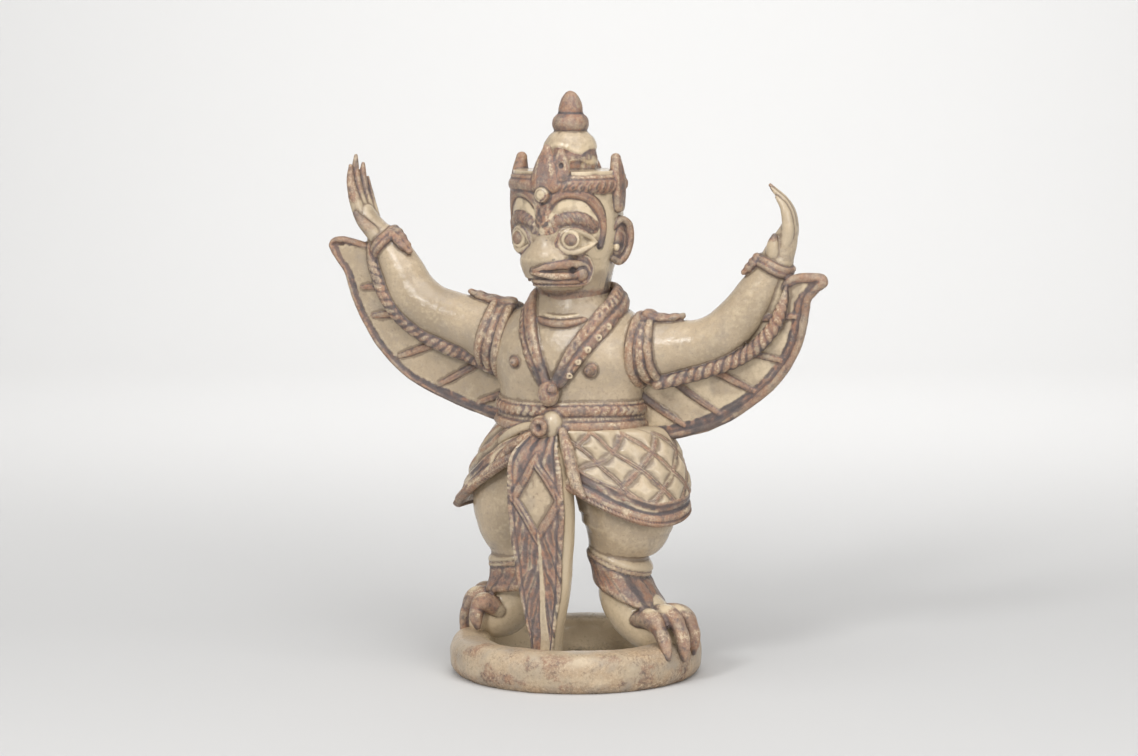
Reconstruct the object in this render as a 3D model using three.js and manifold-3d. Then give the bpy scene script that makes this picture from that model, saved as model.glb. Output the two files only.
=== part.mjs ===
// A garuda figure in glazed stoneware, standing with raised arms and wings on a coiled ring.
// The figure and its ring were joined wet and fired together, so they are one solid.
// Millimetres, +Z up. The figure faces -Y, its left hand is at +X, and the ring stands on z = 0.

import * as THREE from "three";
import { mergeVertices } from "three/addons/utils/BufferGeometryUtils.js";
import Module from "manifold-3d";

const wasm = await Module();
wasm.setup();

// Driving sizes of the ring base.
const ringRadius = 60; // to the middle of the coil
const coilWidth = 24.6;
const coilHeight = 23;
const coilFlat = 6.5; // half the width of the flat that it stands on

// Driving sizes of the figure.
const figureHeight = 305; // from the ring's top to the crown's tip
const wingThickness = 4.6;
const rimThickness = 7.6; // the rolled edge of each wing
const ropeRadius = 4; // the twisted roll along the foot of each wing
const ribHeight = 1.3; // how far each wing's ribs stand proud
const sashDepth = 19; // front to back
const lozengeDepth = 1.3; // of the lozenges in its front
const skirtWall = 4.2; // the skirt's thickness at its hem
const netDepth = 1.3; // how deep the lozenges of the skirt's net are sunk

// The figure is drawn at its real size, on a ring whose top is 23 high, and scales from there.
const drawnHeight = 305;
const drawnRingTop = 23;
const share = figureHeight / drawnHeight;
const place = (x, y, z) =>
  new THREE.Vector3(x * share, y * share, coilHeight + (z - drawnRingTop) * share);

// The coil's section is round on top and flat below.
const coilMiddle = coilHeight - coilWidth / 2 + 0.6;
const forward = new THREE.Vector3(0, -1, 0);
const upward = new THREE.Vector3(0, 0, 1);

// Turns a geometry into a closed solid, with its faces pointing out.
function solid(geometry) {
  const bare = new THREE.BufferGeometry();
  bare.setAttribute("position", geometry.getAttribute("position"));
  bare.setIndex(geometry.getIndex());
  const merged = mergeVertices(bare, 1e-4);
  const vertProperties = new Float32Array(merged.attributes.position.array);
  const triVerts = new Uint32Array(merged.index.array);
  const corner = [new THREE.Vector3(), new THREE.Vector3(), new THREE.Vector3()];
  let volume = 0;
  for (let i = 0; i < triVerts.length; i += 3) {
    corner.forEach((c, j) => c.fromArray(vertProperties, 3 * triVerts[i + j]));
    volume += corner[0].dot(corner[1].cross(corner[2]));
  }
  if (volume < 0) triVerts.reverse();
  return new wasm.Manifold(new wasm.Mesh({ numProp: 3, vertProperties, triVerts }));
}

// A closed skin over rings of equal length. Each end closes on a point, or the last ring joins the first.
function skin(rings, { closed = false, startPole, endPole } = {}) {
  const sides = rings[0].length;
  const points = rings.flat();
  const index = [];
  const spans = closed ? rings.length : rings.length - 1;
  for (let i = 0; i < spans; i++) {
    const here = i * sides;
    const next = ((i + 1) % rings.length) * sides;
    for (let j = 0; j < sides; j++) {
      const k = (j + 1) % sides;
      index.push(here + j, next + j, next + k, here + j, next + k, here + k);
    }
  }
  if (!closed) {
    const sum = (ring) => ring.reduce((total, p) => total.add(p), new THREE.Vector3());
    const middle = (ring) => sum(ring).divideScalar(sides);
    const start = points.push(startPole ?? middle(rings[0])) - 1;
    const end = points.push(endPole ?? middle(rings.at(-1))) - 1;
    const last = (rings.length - 1) * sides;
    for (let j = 0; j < sides; j++) {
      const k = (j + 1) % sides;
      index.push(start, j, k);
      index.push(end, last + k, last + j);
    }
  }
  const geometry = new THREE.BufferGeometry().setFromPoints(points);
  geometry.setIndex(index);
  return geometry;
}

// A smooth run through a list of numbers, asked for by a share of its length.
function run(values) {
  const curve = smooth(values.map((v) => new THREE.Vector3(v, 0, 0)));
  return (t) => curve.getPoint(t).x;
}

function smooth(points, closed = false) {
  return new THREE.CatmullRomCurve3(points, closed, "catmullrom", 0.5);
}

// Sections of a roll, as [across, out]: round, a ridge, a ridge that wavers like a twist, a double ridge.
const round = (sides) =>
  Array.from({ length: sides }, (_, j) => {
    const angle = (2 * Math.PI * (j + 0.5)) / sides;
    return [Math.cos(angle), Math.sin(angle)];
  });
const ridge = [[1, -1], [0, 1], [-1, -1]];
const twistedRidge = (i) => [[1, -1], [i % 2 ? 0.45 : -0.45, 1], [-1, -1]];
const doubleRidge = [[1, -0.2], [0.6, 1], [0, 0.3], [-0.6, 1], [-1, -0.2], [0, -1]];

// A roll of clay along a path, with a half width and a half depth at each of its points. The depth lies
// along `face`, and each end bulges by a share of the depth.
function roll(points, sizes, options = {}) {
  const { section = round(6), steps = 8, face = forward, closed = false, blunt = 0.5 } = options;
  const path = smooth(points, closed);
  const width = run(sizes.map((s) => (Array.isArray(s) ? s[0] : s)));
  const depth = run(sizes.map((s) => (Array.isArray(s) ? s[1] : s)));
  const rings = [];
  for (let i = 0; i < (closed ? steps : steps + 1); i++) {
    const t = i / steps;
    const middle = path.getPoint(t);
    const along = path.getTangent(t);
    const out = (typeof face === "function" ? face(middle) : face).clone();
    out.addScaledVector(along, -out.dot(along)).normalize();
    const across = new THREE.Vector3().crossVectors(along, out);
    const corners = typeof section === "function" ? section(i) : section;
    across.multiplyScalar(share * width(t));
    out.multiplyScalar(share * depth(t));
    rings.push(corners.map(([u, v]) => middle.clone().addScaledVector(across, u).addScaledVector(out, v)));
  }
  if (closed) return solid(skin(rings, { closed: true }));
  const end = (t, by) => path.getPoint(t).addScaledVector(path.getTangent(t), by * share * depth(t));
  return solid(skin(rings, { startPole: end(0, -blunt), endPole: end(1, blunt) }));
}

// An egg of clay, with its half sizes along X, Y and Z, leaning about Y.
function egg(middle, [rx, ry, rz], { sides = 10, rows = 6, lean = 0 } = {}) {
  const geometry = new THREE.SphereGeometry(share, sides, rows);
  geometry.rotateX(Math.PI / 2).scale(rx, ry, rz).rotateY(lean);
  return solid(geometry.translate(middle.x, middle.y, middle.z));
}

// A body built of level slices: [height, middle x, middle y, half width, half depth, depth of any notches].
function stack(slices, sides) {
  const rings = slices.map(([height, x, y, width, depth, notch = 0]) =>
    round(sides).map(([u, v], j) => {
      const cut = j % 2 ? notch : 0;
      return place(x + (width - Math.abs(cut)) * u, y + (depth - Math.abs(cut)) * v, height + cut);
    }),
  );
  return solid(skin(rings));
}

const union = (parts) => parts.reduce((all, part) => all.add(part));
const placed = (list) => list.map(([x, y, z]) => place(x, y, z));
const outward = (middle) => new THREE.Vector3(middle.x, middle.y, 0).normalize();

// The hand-rolled coil that the figure stands on.
function ringBase() {
  const around = 24;
  const sides = 8;
  const rings = [];
  for (let i = 0; i < around; i++) {
    const turn = (2 * Math.PI * i) / around;
    const unevenness = 1 + 0.02 * Math.sin(3 * turn + 1) + 0.015 * Math.sin(5 * turn);
    rings.push(
      round(sides).map(([u, v]) => {
        const below = Math.max(0, coilMiddle * (1 + 1.25 * v));
        const height = v > 0 ? coilMiddle + (coilHeight - coilMiddle) * v : below;
        const halfWidth = (coilWidth / 2) * unevenness * 1.08;
        const radius = ringRadius + (v < -0.9 ? coilFlat * Math.sign(u) : halfWidth * u);
        return new THREE.Vector3(radius * Math.sin(turn), -radius * Math.cos(turn), height);
      }),
    );
  }
  return solid(skin(rings, { closed: true }));
}

// Chest, belly and hips, drawn in at the belt: a smooth roll with a notched band above it.
function torso() {
  const notch = 1.5;
  const slices = [
    [76, -2, 2, 16, 14],
    [98, -2, 1, 44, 26],
    [140, -2, 0, 41.4, 31],
    [141.8, -2, 0, 43.6, 34],
    [146.2, -2, 0, 43.6, 34],
    [148, -2, 0, 41, 31],
    [149.6, -2, 0, 43, 33.4, notch],
    [153.6, -2, 0, 43, 33.4, -notch],
    [155.4, -2, 0, 41, 31],
    [164, -2, 0, 42.6, 31.4],
    [179, -2, -1, 46, 32.6],
    [193, -1, -1, 44, 30],
    [203, 0, -1, 35.6, 26],
    [211.4, 0, -2, 23, 23.4],
  ];
  return stack(slices, 16);
}

// One leg: a bulging thigh that narrows to the ankle, with a flared cuff of feathers lower on the outside.
function leg({ side, thigh, thick, cuff, tilt, flare }) {
  const axis = new THREE.Vector3(side * Math.sin(tilt), 0, Math.cos(tilt));
  const across = new THREE.Vector3(Math.cos(tilt), 0, -side * Math.sin(tilt));
  const middle = place(...cuff);
  const profile = [
    [14, -15, 0], [flare, -16.4, 1], [flare - 0.6, -13, 1], [17.4, -0.6, 0], [19.4, 1.4, 0],
    [17.6, 3, 0], [19, 5.4, 0],
  ];
  const rings = profile.map(([radius, height, flute]) =>
    round(12).map(([u, v], j) => {
      const reach = radius * (1 - 0.07 * flute * (j % 2)) * share;
      return middle
        .clone()
        .addScaledVector(axis, height * share)
        .addScaledVector(across, reach * u)
        .addScaledVector(forward, reach * v);
    }),
  );
  return union([roll(placed(thigh), thick, { section: round(10), steps: 5 }), solid(skin(rings))]);
}

const legs = [
  {
    side: 1,
    thigh: [[22, 2, 122], [30, 1, 98], [30, 0, 84], [28, 0, 70], [30, 0, 56]],
    thick: [26, 27, 25, 18.5, 14.5],
    cuff: [30.5, 0, 64],
    tilt: 0.33,
    flare: 22.4,
  },
  {
    side: -1,
    thigh: [[-25, 2, 122], [-34, 1, 98], [-35, 0, 84], [-33, 0, 70], [-33, 0, 56]],
    thick: [26, 28, 26, 19, 15],
    cuff: [-33.5, 0, 62],
    tilt: 0.14,
    flare: 21.5,
  },
];

// One foot: a thick shank down to the ring, with three clawed toes hooked over the coil.
function foot({ side, ankle, toes }) {
  const over = (reach, turn, height) =>
    new THREE.Vector3(side * reach * Math.cos(turn), -reach * Math.sin(turn), height);
  const outer = ringRadius + coilWidth / 2;
  const shank = roll(
    [
      place(...ankle),
      place(ankle[0] + side * 4, 0, 42),
      over(ringRadius - 12, 0.08, coilHeight + 9),
      over(ringRadius - 3, 0.1, coilHeight - 1),
    ],
    [13.5, 14, 15, 13],
    { section: round(7), steps: 3 },
  );
  const claws = toes.map(({ turn, rise, tip, drop }) =>
    roll(
      [
        over(ringRadius - 15, turn * 0.6, coilHeight + rise * 0.7),
        over(ringRadius - 1, turn, coilHeight + rise),
        over(outer + tip - 2, turn * 1.05, coilHeight + rise * 0.55),
        over(outer + tip - 1, turn * 1.1, coilHeight - drop),
      ],
      [5.4, 6.4, 5.4, 1.8],
      { section: round(4), steps: 3, face: upward },
    ),
  );
  return union([shank, ...claws]);
}

const feet = [
  {
    side: 1,
    ankle: [30, 0, 56],
    toes: [
      { turn: 0.02, rise: 11.5, tip: -1, drop: 8 },
      { turn: 0.19, rise: 12.5, tip: 0, drop: 11 },
      { turn: 0.37, rise: 10, tip: 0, drop: 10 },
    ],
  },
  {
    side: -1,
    ankle: [-33, 0, 56],
    toes: [
      { turn: -0.22, rise: 12, tip: -4.5, drop: 4 },
      { turn: -0.01, rise: 13.5, tip: -4.5, drop: 5 },
      { turn: 0.24, rise: 11, tip: -7, drop: 0 },
    ],
  },
];

// The skirt's hem falls from the knot to the outside of each thigh, and rises again behind.
function hemHeight(turn) {
  const left = Math.sin(turn) >= 0;
  const away = Math.abs(Math.atan2(Math.sin(turn), Math.cos(turn)));
  const [atKnot, atSide, atBack] = left ? [116, 92, 100] : [131, 92, 100];
  const rise = Math.pow(Math.abs(Math.sin(away)), left ? 1.3 : 2);
  return atSide + ((away < Math.PI / 2 ? atKnot : atBack) - atSide) * (1 - rise);
}

// A place on the outside of the skirt, by its turn round the body and its share of the way down to the hem.
function skirtPlace(turn, down, proud = 0) {
  const top = 142;
  const height = top + (hemHeight(turn) - top) * down;
  const fall = Math.max(0, (top - height) / (top - 92));
  const bend = Math.sin(turn) >= 0 ? 0.3 : 0.75;
  const spread = Math.pow(fall, bend + (1 - bend) * Math.cos(turn) ** 2);
  const width = 42 + 27.6 * spread + proud;
  const depth = 33 + 10 * spread + proud;
  return place(-1.5 + width * Math.sin(turn), -depth * Math.cos(turn), height);
}

// The flared skirt: a rolled hem, and above it a net of raised cords with hollow lozenges between them.
function skirt() {
  const columns = 24;
  const rows = 4;
  const turnAt = (c) => (2 * Math.PI * c) / columns + 0.11;
  const inward = (point, by, lower = 0) => {
    const flat = new THREE.Vector3(point.x, point.y, 0).setLength(by * share);
    return point.clone().sub(flat).addScaledVector(upward, -lower * share);
  };
  const ringOf = (make) => Array.from({ length: columns }, (_, c) => make(turnAt(c)));
  const shares = Array.from({ length: rows + 1 }, (_, r) => 0.04 + (0.86 * r) / rows);
  const net = shares.map((down) => ringOf((turn) => skirtPlace(turn, down, 0.9)));
  const hem = ringOf((turn) => skirtPlace(turn, 1, 1.8));
  const below = [
    hem,
    hem.map((p) => inward(p, 1 + skirtWall, 3)),
    ringOf((turn) => inward(skirtPlace(turn, 0), 18)),
  ];
  const points = [...net, ...below].flat();
  const index = [];
  const at = (r, c) => r * columns + ((c + columns) % columns);
  for (let r = 0; r <= rows; r++) {
    for (let c = 0; c < columns; c++) {
      if ((r + c) % 2 === 0) continue;
      const corners = [[r, c - 1], [r - 1, c], [r, c + 1], [r + 1, c]];
      if (r === 0) {
        index.push(at(0, c - 1), at(1, c), at(0, c), at(0, c), at(1, c), at(0, c + 1));
      } else if (r === rows) {
        index.push(at(r, c - 1), at(r, c), at(r - 1, c), at(r, c), at(r, c + 1), at(r - 1, c));
      } else {
        const middle = points[at(r, c)];
        const outer = corners.map(([i, j]) => at(i, j));
        const sunk = (k) => inward(points[k].clone().lerp(middle, 0.3), netDepth);
        const inner = outer.map((k) => points.push(sunk(k)) - 1);
        for (let k = 0; k < 4; k++) {
          const next = (k + 1) % 4;
          index.push(outer[k], inner[next], outer[next], outer[k], inner[k], inner[next]);
        }
        index.push(inner[0], inner[3], inner[2], inner[0], inner[2], inner[1]);
      }
    }
  }
  const last = rows + below.length;
  for (let r = rows; r <= last; r++) {
    const next = r === last ? 0 : r + 1;
    for (let c = 0; c < columns; c++) {
      index.push(at(r, c), at(next, c), at(r, c + 1), at(r, c + 1), at(next, c), at(next, c + 1));
    }
  }
  const geometry = new THREE.BufferGeometry().setFromPoints(points);
  geometry.setIndex(index);
  return solid(geometry);
}

// The long tongue of cloth that falls from the knot to the ring, with raised edges and sunk lozenges.
function sash() {
  const slices = [
    [141, -4, -35, 7],
    [128, -7.5, -43, 14],
    [112, -6.5, -45.5, 16.5],
    [88, -5, -46.8, 16],
    [50, -2.8, -47, 11.5],
    [28, -2, -47, 7.5],
    [12, -1.5, -46, 5.5],
  ];
  const frontHalf = [[-1, 0.14], [-0.92, -0.03], [-0.74, 0.05], [0.74, 0.05], [0.92, -0.03], [1, 0.14]];
  const outline = [...frontHalf, [1.14, 0.6], [0.8, 1], [-0.8, 1], [-1, 0.6]];
  const rings = slices.map(([z, x, y, half]) =>
    outline.map(([u, back]) => place(x + half * u, y + back * sashDepth, z)),
  );
  const diamond = [[1, 0], [0, 1], [-1, 0], [0, -1]];
  const lozenge = (x, z, wide, high) => {
    const levels = [[1, -8], [1, 1], [0.8, lozengeDepth + 1]];
    const cutter = levels.map(([size, y]) =>
      diamond.map(([u, v]) => place(x + u * wide * size, y - 47, z + v * high * size)),
    );
    return solid(skin(cutter));
  };
  return solid(skin(rings)).subtract(lozenge(-5.6, 106, 10.5, 16)).subtract(lozenge(-4, 70, 8, 17));
}

// The belt's knot, with a pierced boss.
function knot() {
  const seat = place(-4.5, -37, 143.5);
  const boss = new THREE.CylinderGeometry(4.8 * share, 5.6 * share, 9 * share, 9);
  const hole = new THREE.CylinderGeometry(1.3 * share, 1.3 * share, 8 * share, 5);
  return union([
    egg(place(1, -35, 146), [8, 4.8, 8], { sides: 8, rows: 6 }),
    solid(boss.translate(seat.x, seat.y, seat.z)),
  ]).subtract(solid(hole.translate(seat.x, seat.y - 4.5 * share, seat.z)));
}

// The thin collar, the broad necklace that meets in a drop, and the breasts beside it.
function necklace() {
  const strap = (list) =>
    roll(placed(list), [[6, 2.4], [6.4, 2.8], [6, 2.8], [5, 2.6], [3, 2.4]], {
      section: doubleRidge,
      steps: 5,
      face: (middle) => outward(middle.clone().setY(middle.y - 8)),
    });
  const collar = Array.from({ length: 10 }, (_, i) => {
    const turn = (Math.PI * i) / 5;
    return place(1 + 21.5 * Math.sin(turn), -3 - 22.5 * Math.cos(turn), 208 - 3.5 * Math.cos(turn));
  });
  return union([
    roll(collar, [2.4, 2.4], { section: round(3), steps: 12, closed: true, face: upward }),
    strap([[-10, 16, 217], [-20, -6, 213], [-18.5, -23, 201], [-14, -31, 186], [-4.5, -34, 169]]),
    strap([[12, 16, 217], [26.5, -5, 211.5], [24.5, -22, 201], [14, -31.5, 186], [3, -34, 169]]),
    egg(place(-1, -35.6, 162.5), [6.2, 4.8, 7.2], { sides: 7, rows: 5 }),
    egg(place(-24, -29, 178), [3.8, 5, 4], { sides: 6, rows: 3 }),
    egg(place(22, -29.6, 175.5), [4, 5, 4.2], { sides: 6, rows: 3 }),
  ]);
}

// The middle line of each arm, from the shoulder to the wrist, with its thickness.
const arms = {
  right: {
    side: -1,
    line: [
      [-24, 0, 181], [-44, 0, 188], [-60, 0, 194.5], [-74, 0, 198.5], [-88, 0, 203],
      [-99.5, 0, 212], [-106.5, 0, 224], [-113, 0, 235.5], [-119, 0, 242],
    ],
    thick: [20, 19, 15.6, 14, 13.5, 13, 12, 10, 9],
  },
  left: {
    side: 1,
    line: [
      [24, 0, 186], [44, 0, 184.5], [60, 0, 186.5], [74, 0, 189], [87, 0, 194.5], [98.5, 0, 205],
      [107.5, 0, 217.5], [114.5, 0, 229], [118.5, 0, 236],
    ],
    thick: [19, 17.5, 14.6, 13, 13, 12.6, 11.4, 9.6, 9],
  },
};

// An arm, with the double ridge of its armlet and the bracelet turned up out of it, and a leaf along each.
function arm({ side, line, thick }) {
  const path = smooth(placed(line));
  const size = run(thick);
  const armlet = [[0.09, 0], [0.106, 2.8], [0.132, 1.2], [0.158, 2.6], [0.17, 0]];
  const bracelet = [[0.925, 0], [0.934, 2], [0.975, 2], [0.984, 0]];
  const plain = [0, 0.28, 0.4, 0.5, 0.6, 0.7, 0.82, 1].map((t) => [t, 0]);
  const stations = [...plain, ...armlet, ...bracelet].sort((a, b) => a[0] - b[0]);
  const rings = stations.map(([t, proud]) => {
    const radius = (size(t) * 1.05 + proud) * share;
    const along = path.getTangent(t);
    const across = new THREE.Vector3().crossVectors(along, forward).normalize();
    return round(8).map(([u, v]) =>
      path
        .getPoint(t)
        .addScaledVector(across, radius * u)
        .addScaledVector(forward, radius * v),
    );
  });
  const leaf = (list, sizes) => {
    const line = list.map(([t, lift]) => {
      const along = path.getTangent(t);
      const up = new THREE.Vector3().crossVectors(along, forward).multiplyScalar(-side);
      return path.getPoint(t).addScaledVector(up, (size(t) + lift) * share);
    });
    return roll(line, sizes, { section: round(4), steps: 2, face: upward });
  };
  return union([
    solid(skin(rings)),
    leaf([[0.14, 2], [0.24, 1.6], [0.31, 3.6]], [[5, 2.8], [5, 2.2], [1.4, 1.4]]),
    leaf([[0.95, 1], [0.88, 2], [0.83, 5]], [[4, 2.4], [3.4, 2], [1.1, 1.1]]),
  ]);
}

// A hand bent back at the wrist: a palm, four fingers laid together and a short thumb.
function hand({ palm, palmSizes, fingers, fingerSizes, thumb, face }) {
  return union([
    roll(placed(palm), palmSizes, { section: round(8), steps: 2, face }),
    ...fingers.map((line) => roll(placed(line), fingerSizes, { section: round(4), steps: 2, face })),
    roll(placed(thumb), [4, 3.2, 1.5], { section: round(4), steps: 2, face }),
  ]);
}

const rightHand = () =>
  hand({
    palm: [[-118, 0, 241], [-124, -1, 249], [-129.5, -2, 259]],
    palmSizes: [[8.5, 8], [8, 6], [7, 4.6]],
    fingers: [
      [[-125.5, 4.5, 255], [-130, 4.5, 269], [-129.5, 3, 284]],
      [[-127, 0.5, 256], [-133, 0.5, 272], [-134, -1, 289.5]],
      [[-128, -3.5, 256], [-134, -3.5, 269], [-135, -4, 282]],
      [[-128.5, -7.5, 255], [-134.5, -7.5, 265], [-136, -8, 276]],
    ],
    fingerSizes: [3.6, 3.4, 1.4],
    thumb: [[-124, -7, 248], [-131, -10, 252], [-136.5, -10, 259.5]],
    face: new THREE.Vector3(-0.9, 0, 0.4),
  });

const leftHand = () =>
  hand({
    palm: [[117.5, 0, 235], [122, 0, 243], [124.5, 0, 252]],
    palmSizes: [[8.5, 8.5], [8.5, 7], [8, 5]],
    fingers: [
      [[124.5, -6, 249], [126.5, -6, 260], [121, -6, 270]],
      [[125, -2, 250], [127, -2, 262], [118.5, -2, 273.5]],
      [[125, 2, 250], [127, 2, 262], [113.5, 2, 276]],
      [[124.5, 6, 249], [126.5, 6, 260], [119, 6, 271]],
    ],
    fingerSizes: [3.7, 3.5, 1.3],
    thumb: [[121, -7, 243], [118.5, -8, 249], [118, -7.5, 254]],
    face: new THREE.Vector3(1, 0, 0.1),
  });

// Each wing's outer edge, its root line inside the arm and the roll under the arm, from the tip to the
// waist, and where each rib leaves the root line and meets the edge, as shares of their lengths.
const wings = {
  right: {
    outer: [
      [-152, -5, 239.5], [-147.5, -5, 232], [-141.5, -4, 223], [-138, -3, 210], [-132, -1, 195],
      [-121, 0, 178], [-103, 1, 161.5], [-78, 2, 149.5], [-56, 3, 142], [-44, 3, 138],
    ],
    inner: [
      [-118, -3, 240], [-115.5, -3, 233], [-110, -3, 222], [-105, -2, 213], [-97.5, -1, 204.5],
      [-88, 0, 199], [-76, 1, 193.5], [-62, 2, 187], [-45, 3, 179], [-34, 3, 161],
    ],
    rope: [
      [-126, -8, 236], [-122.5, -8, 220.5], [-114, -7, 206], [-103.5, -5.5, 194.3],
      [-89.5, -4, 184.5], [-74.5, -3, 178], [-60, -2, 173.5], [-40, -2, 164],
    ],
    ribs: [[0.29, 0.3], [0.5, 0.4], [0.69, 0.55], [0.85, 0.7], [0.96, 0.8]],
  },
  left: {
    outer: [
      [149.5, -5, 226.5], [146, -5, 221], [139, -4, 213], [137, -3, 203], [132, -1, 186],
      [121, 0, 169.5], [104, 1, 154.5], [84, 2, 142.5], [60, 3, 135], [43, 3, 132],
    ],
    inner: [
      [119, -3, 228], [116.5, -3, 221], [112, -3, 213], [106.5, -2, 204], [100, -1, 196.5],
      [90.5, 0, 190], [79, 1, 184.5], [64, 2, 179.5], [46, 3, 174], [34, 3, 158],
    ],
    rope: [
      [128, -8, 222.5], [125.5, -8, 210], [119.6, -7, 198.4], [110.3, -5.5, 188], [98, -4, 179],
      [83.5, -3, 173], [68.5, -2, 168.5], [40, -2, 160],
    ],
    ribs: [[0.34, 0.32], [0.6, 0.48], [0.76, 0.6], [0.88, 0.72], [0.97, 0.81]],
  },
};

// A wing: a thin web below the arm, with a rolled rim, slanting ribs, and a twisted roll close to the arm.
function wing({ outer, inner, rope, ribs }) {
  const rim = smooth(placed(outer));
  const root = smooth(placed(inner));
  const half = (wingThickness / 2) * share;
  const bead = (rimThickness / 2) * share;
  const stations = [[0, 0, 0, 0.5], [0.02, 0.02, 0, 1], [0.06, 0.05, 0, 0]];
  for (const [a, b] of ribs) {
    const [previousA, previousB] = stations.at(-1);
    stations.push([(a + previousA) / 2, (b + previousB) / 2, 0, 0]);
    stations.push([a - 0.016, b - 0.014, 0, 0], [a, b, 1, 0], [a + 0.016, b + 0.014, 0, 0]);
  }
  stations.push([1, 1, 0, 0]);
  const rings = stations.map(([a, b, lift, rolled]) => {
    const from = root.getPoint(a);
    const to = rim.getPoint(b);
    const near = 1 - (6 * share) / from.distanceTo(to);
    const crest = 1 - (3 * share) / from.distanceTo(to);
    const high = rolled > 0 ? bead * rolled : half;
    const front = high + lift * ribHeight * share;
    const top = rolled === 0.5 ? bead * 0.5 : bead;
    const bow = (s) => (rolled > 0 ? 3 * share * Math.sin(Math.PI * s) : 0);
    const section = [
      [0, front],
      [near, front],
      [crest, top],
      [1, 0],
      [crest, -top],
      [near, -high],
      [0, -high],
    ];
    return section.map(([s, by]) =>
      from.clone().lerp(to, s).addScaledVector(forward, by).addScaledVector(upward, bow(s)),
    );
  });
  const twist = { section: twistedRidge, steps: 15, blunt: 0 };
  return union([solid(skin(rings)), roll(placed(rope), [ropeRadius, ropeRadius], twist)]);
}

// The head is built looking straight ahead on its own axis, and turned a little to its right.
const headAxis = [-2.4, -5];
const headTurn = -5;

// The skull and face, from the neck up, with the crown's band as ridges round it.
function skull() {
  return stack(
    [
      [208, 3, 3, 20, 20],
      [218, 2.5, 2, 20.4, 21],
      [225, 1.2, 1, 22.6, 23.6],
      [234, 0.4, 1, 25.4, 26.6],
      [244, 0, 0, 29, 30.6],
      [258, 0, 0, 30.4, 31.8],
      [272, 0, 0, 30.4, 31.6],
      [273.4, 0, 0, 33, 34],
      [280, 0, 0, 32.6, 33.6],
      [281.4, 0, 0, 31, 32],
      [284, 0, 0, 31, 32],
    ],
    14,
  );
}

// The short broad bill in level slices, each the front half of an oval. Its lips part in a groove that runs
// back on each side to a knobbed corner.
function bill() {
  const slices = [
    [216, 13, 24],
    [219.6, 17, 33],
    [223.6, 20.4, 38.4],
    [227, 19.4, 37.6],
    [228.3, 17, 34],
    [229.6, 19.4, 37.8],
    [232.6, 20, 38.6],
    [235, 18, 36.4],
    [243, 15, 34.4],
    [253, 8, 31.8],
  ];
  const rings = slices.map(([z, half, reach]) => {
    const front = Array.from({ length: 7 }, (_, j) => {
      const angle = (Math.PI * (j - 3)) / 7;
      return place(half * Math.sin(angle), -reach * Math.cos(angle), z);
    });
    return [place(-half * 0.8, 6, z), ...front, place(half * 0.8, 6, z)];
  });
  const knob = (side) => egg(place(side * 18.6, -15, 228.6), [3.6, 4.4, 5], { sides: 6, rows: 4 });
  return union([solid(skin(rings)), knob(1), knob(-1)]);
}

// Eyes, lids, brows, the ridges that frame them, and the boss on the forehead.
function faceCarving() {
  const onFace = (x, z, out) => {
    const depth = 31.4 * Math.sqrt(Math.max(0.05, 1 - (x / 30) ** 2));
    return [x, -depth - out, z];
  };
  const arch = (side, list, sizes, steps) => {
    const line = placed(list.map(([x, z]) => onFace(side * x, z, -0.6)));
    return roll(line, sizes, { section: ridge, steps, face: outward, blunt: 0.2 });
  };
  const upperLid = [[8, 245.4], [12, 252.4], [18.5, 254], [27.5, 249]];
  const lowerLid = [[9, 245], [13.5, 240], [19.5, 240.6], [26.5, 246.6]];
  const brow = [[0.8, 262], [8, 269], [18, 270.6], [27, 265.4], [30.4, 256], [30.6, 245]];
  const browSizes = [[3, 2.6], [3.2, 3.4], [3.2, 3.4], [3.2, 3.4], [3, 3], [1.8, 2]];
  const parts = [];
  for (const side of [1, -1]) {
    parts.push(egg(place(...onFace(side * 16.4, 246.8, -1.6)), [5, 4.8, 5], { sides: 8, rows: 4 }));
    parts.push(arch(side, upperLid, [[1.6, 2.2], [2.4, 2.8], [2.4, 2.8], [1.4, 2]], 3));
    parts.push(arch(side, lowerLid, [[1.6, 2], [2.2, 2.4], [2.2, 2.4], [1.4, 2]], 3));
    parts.push(arch(side, brow, browSizes, 6));
  }
  const boss = new THREE.CylinderGeometry(4.4 * share, 4.8 * share, 6 * share, 9);
  const seat = place(...onFace(1, 271, -0.2));
  parts.push(solid(boss.translate(seat.x, seat.y, seat.z)));
  return union(parts);
}

// One ear: a rolled outer rim round a flat shell, with its lobe below.
function ear(side) {
  const rim = [
    [28, -3, 254], [31.5, 3, 259], [34, 8.5, 254], [34, 9.5, 244], [31, 7.5, 235.5],
    [28.4, 3, 231.5], [27.4, -1, 236],
  ];
  return union([
    egg(place(side * 28.5, 4, 244), [4, 6, 11], { sides: 6, rows: 5, lean: side * 0.12 }),
    roll(placed(rim.map(([x, y, z]) => [side * x, y, z])), [2, 2.7, 2.9, 2.9, 2.9, 2.7, 2], {
      section: round(4),
      steps: 5,
      face: new THREE.Vector3(side, 0, 0),
    }),
  ]);
}

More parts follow.
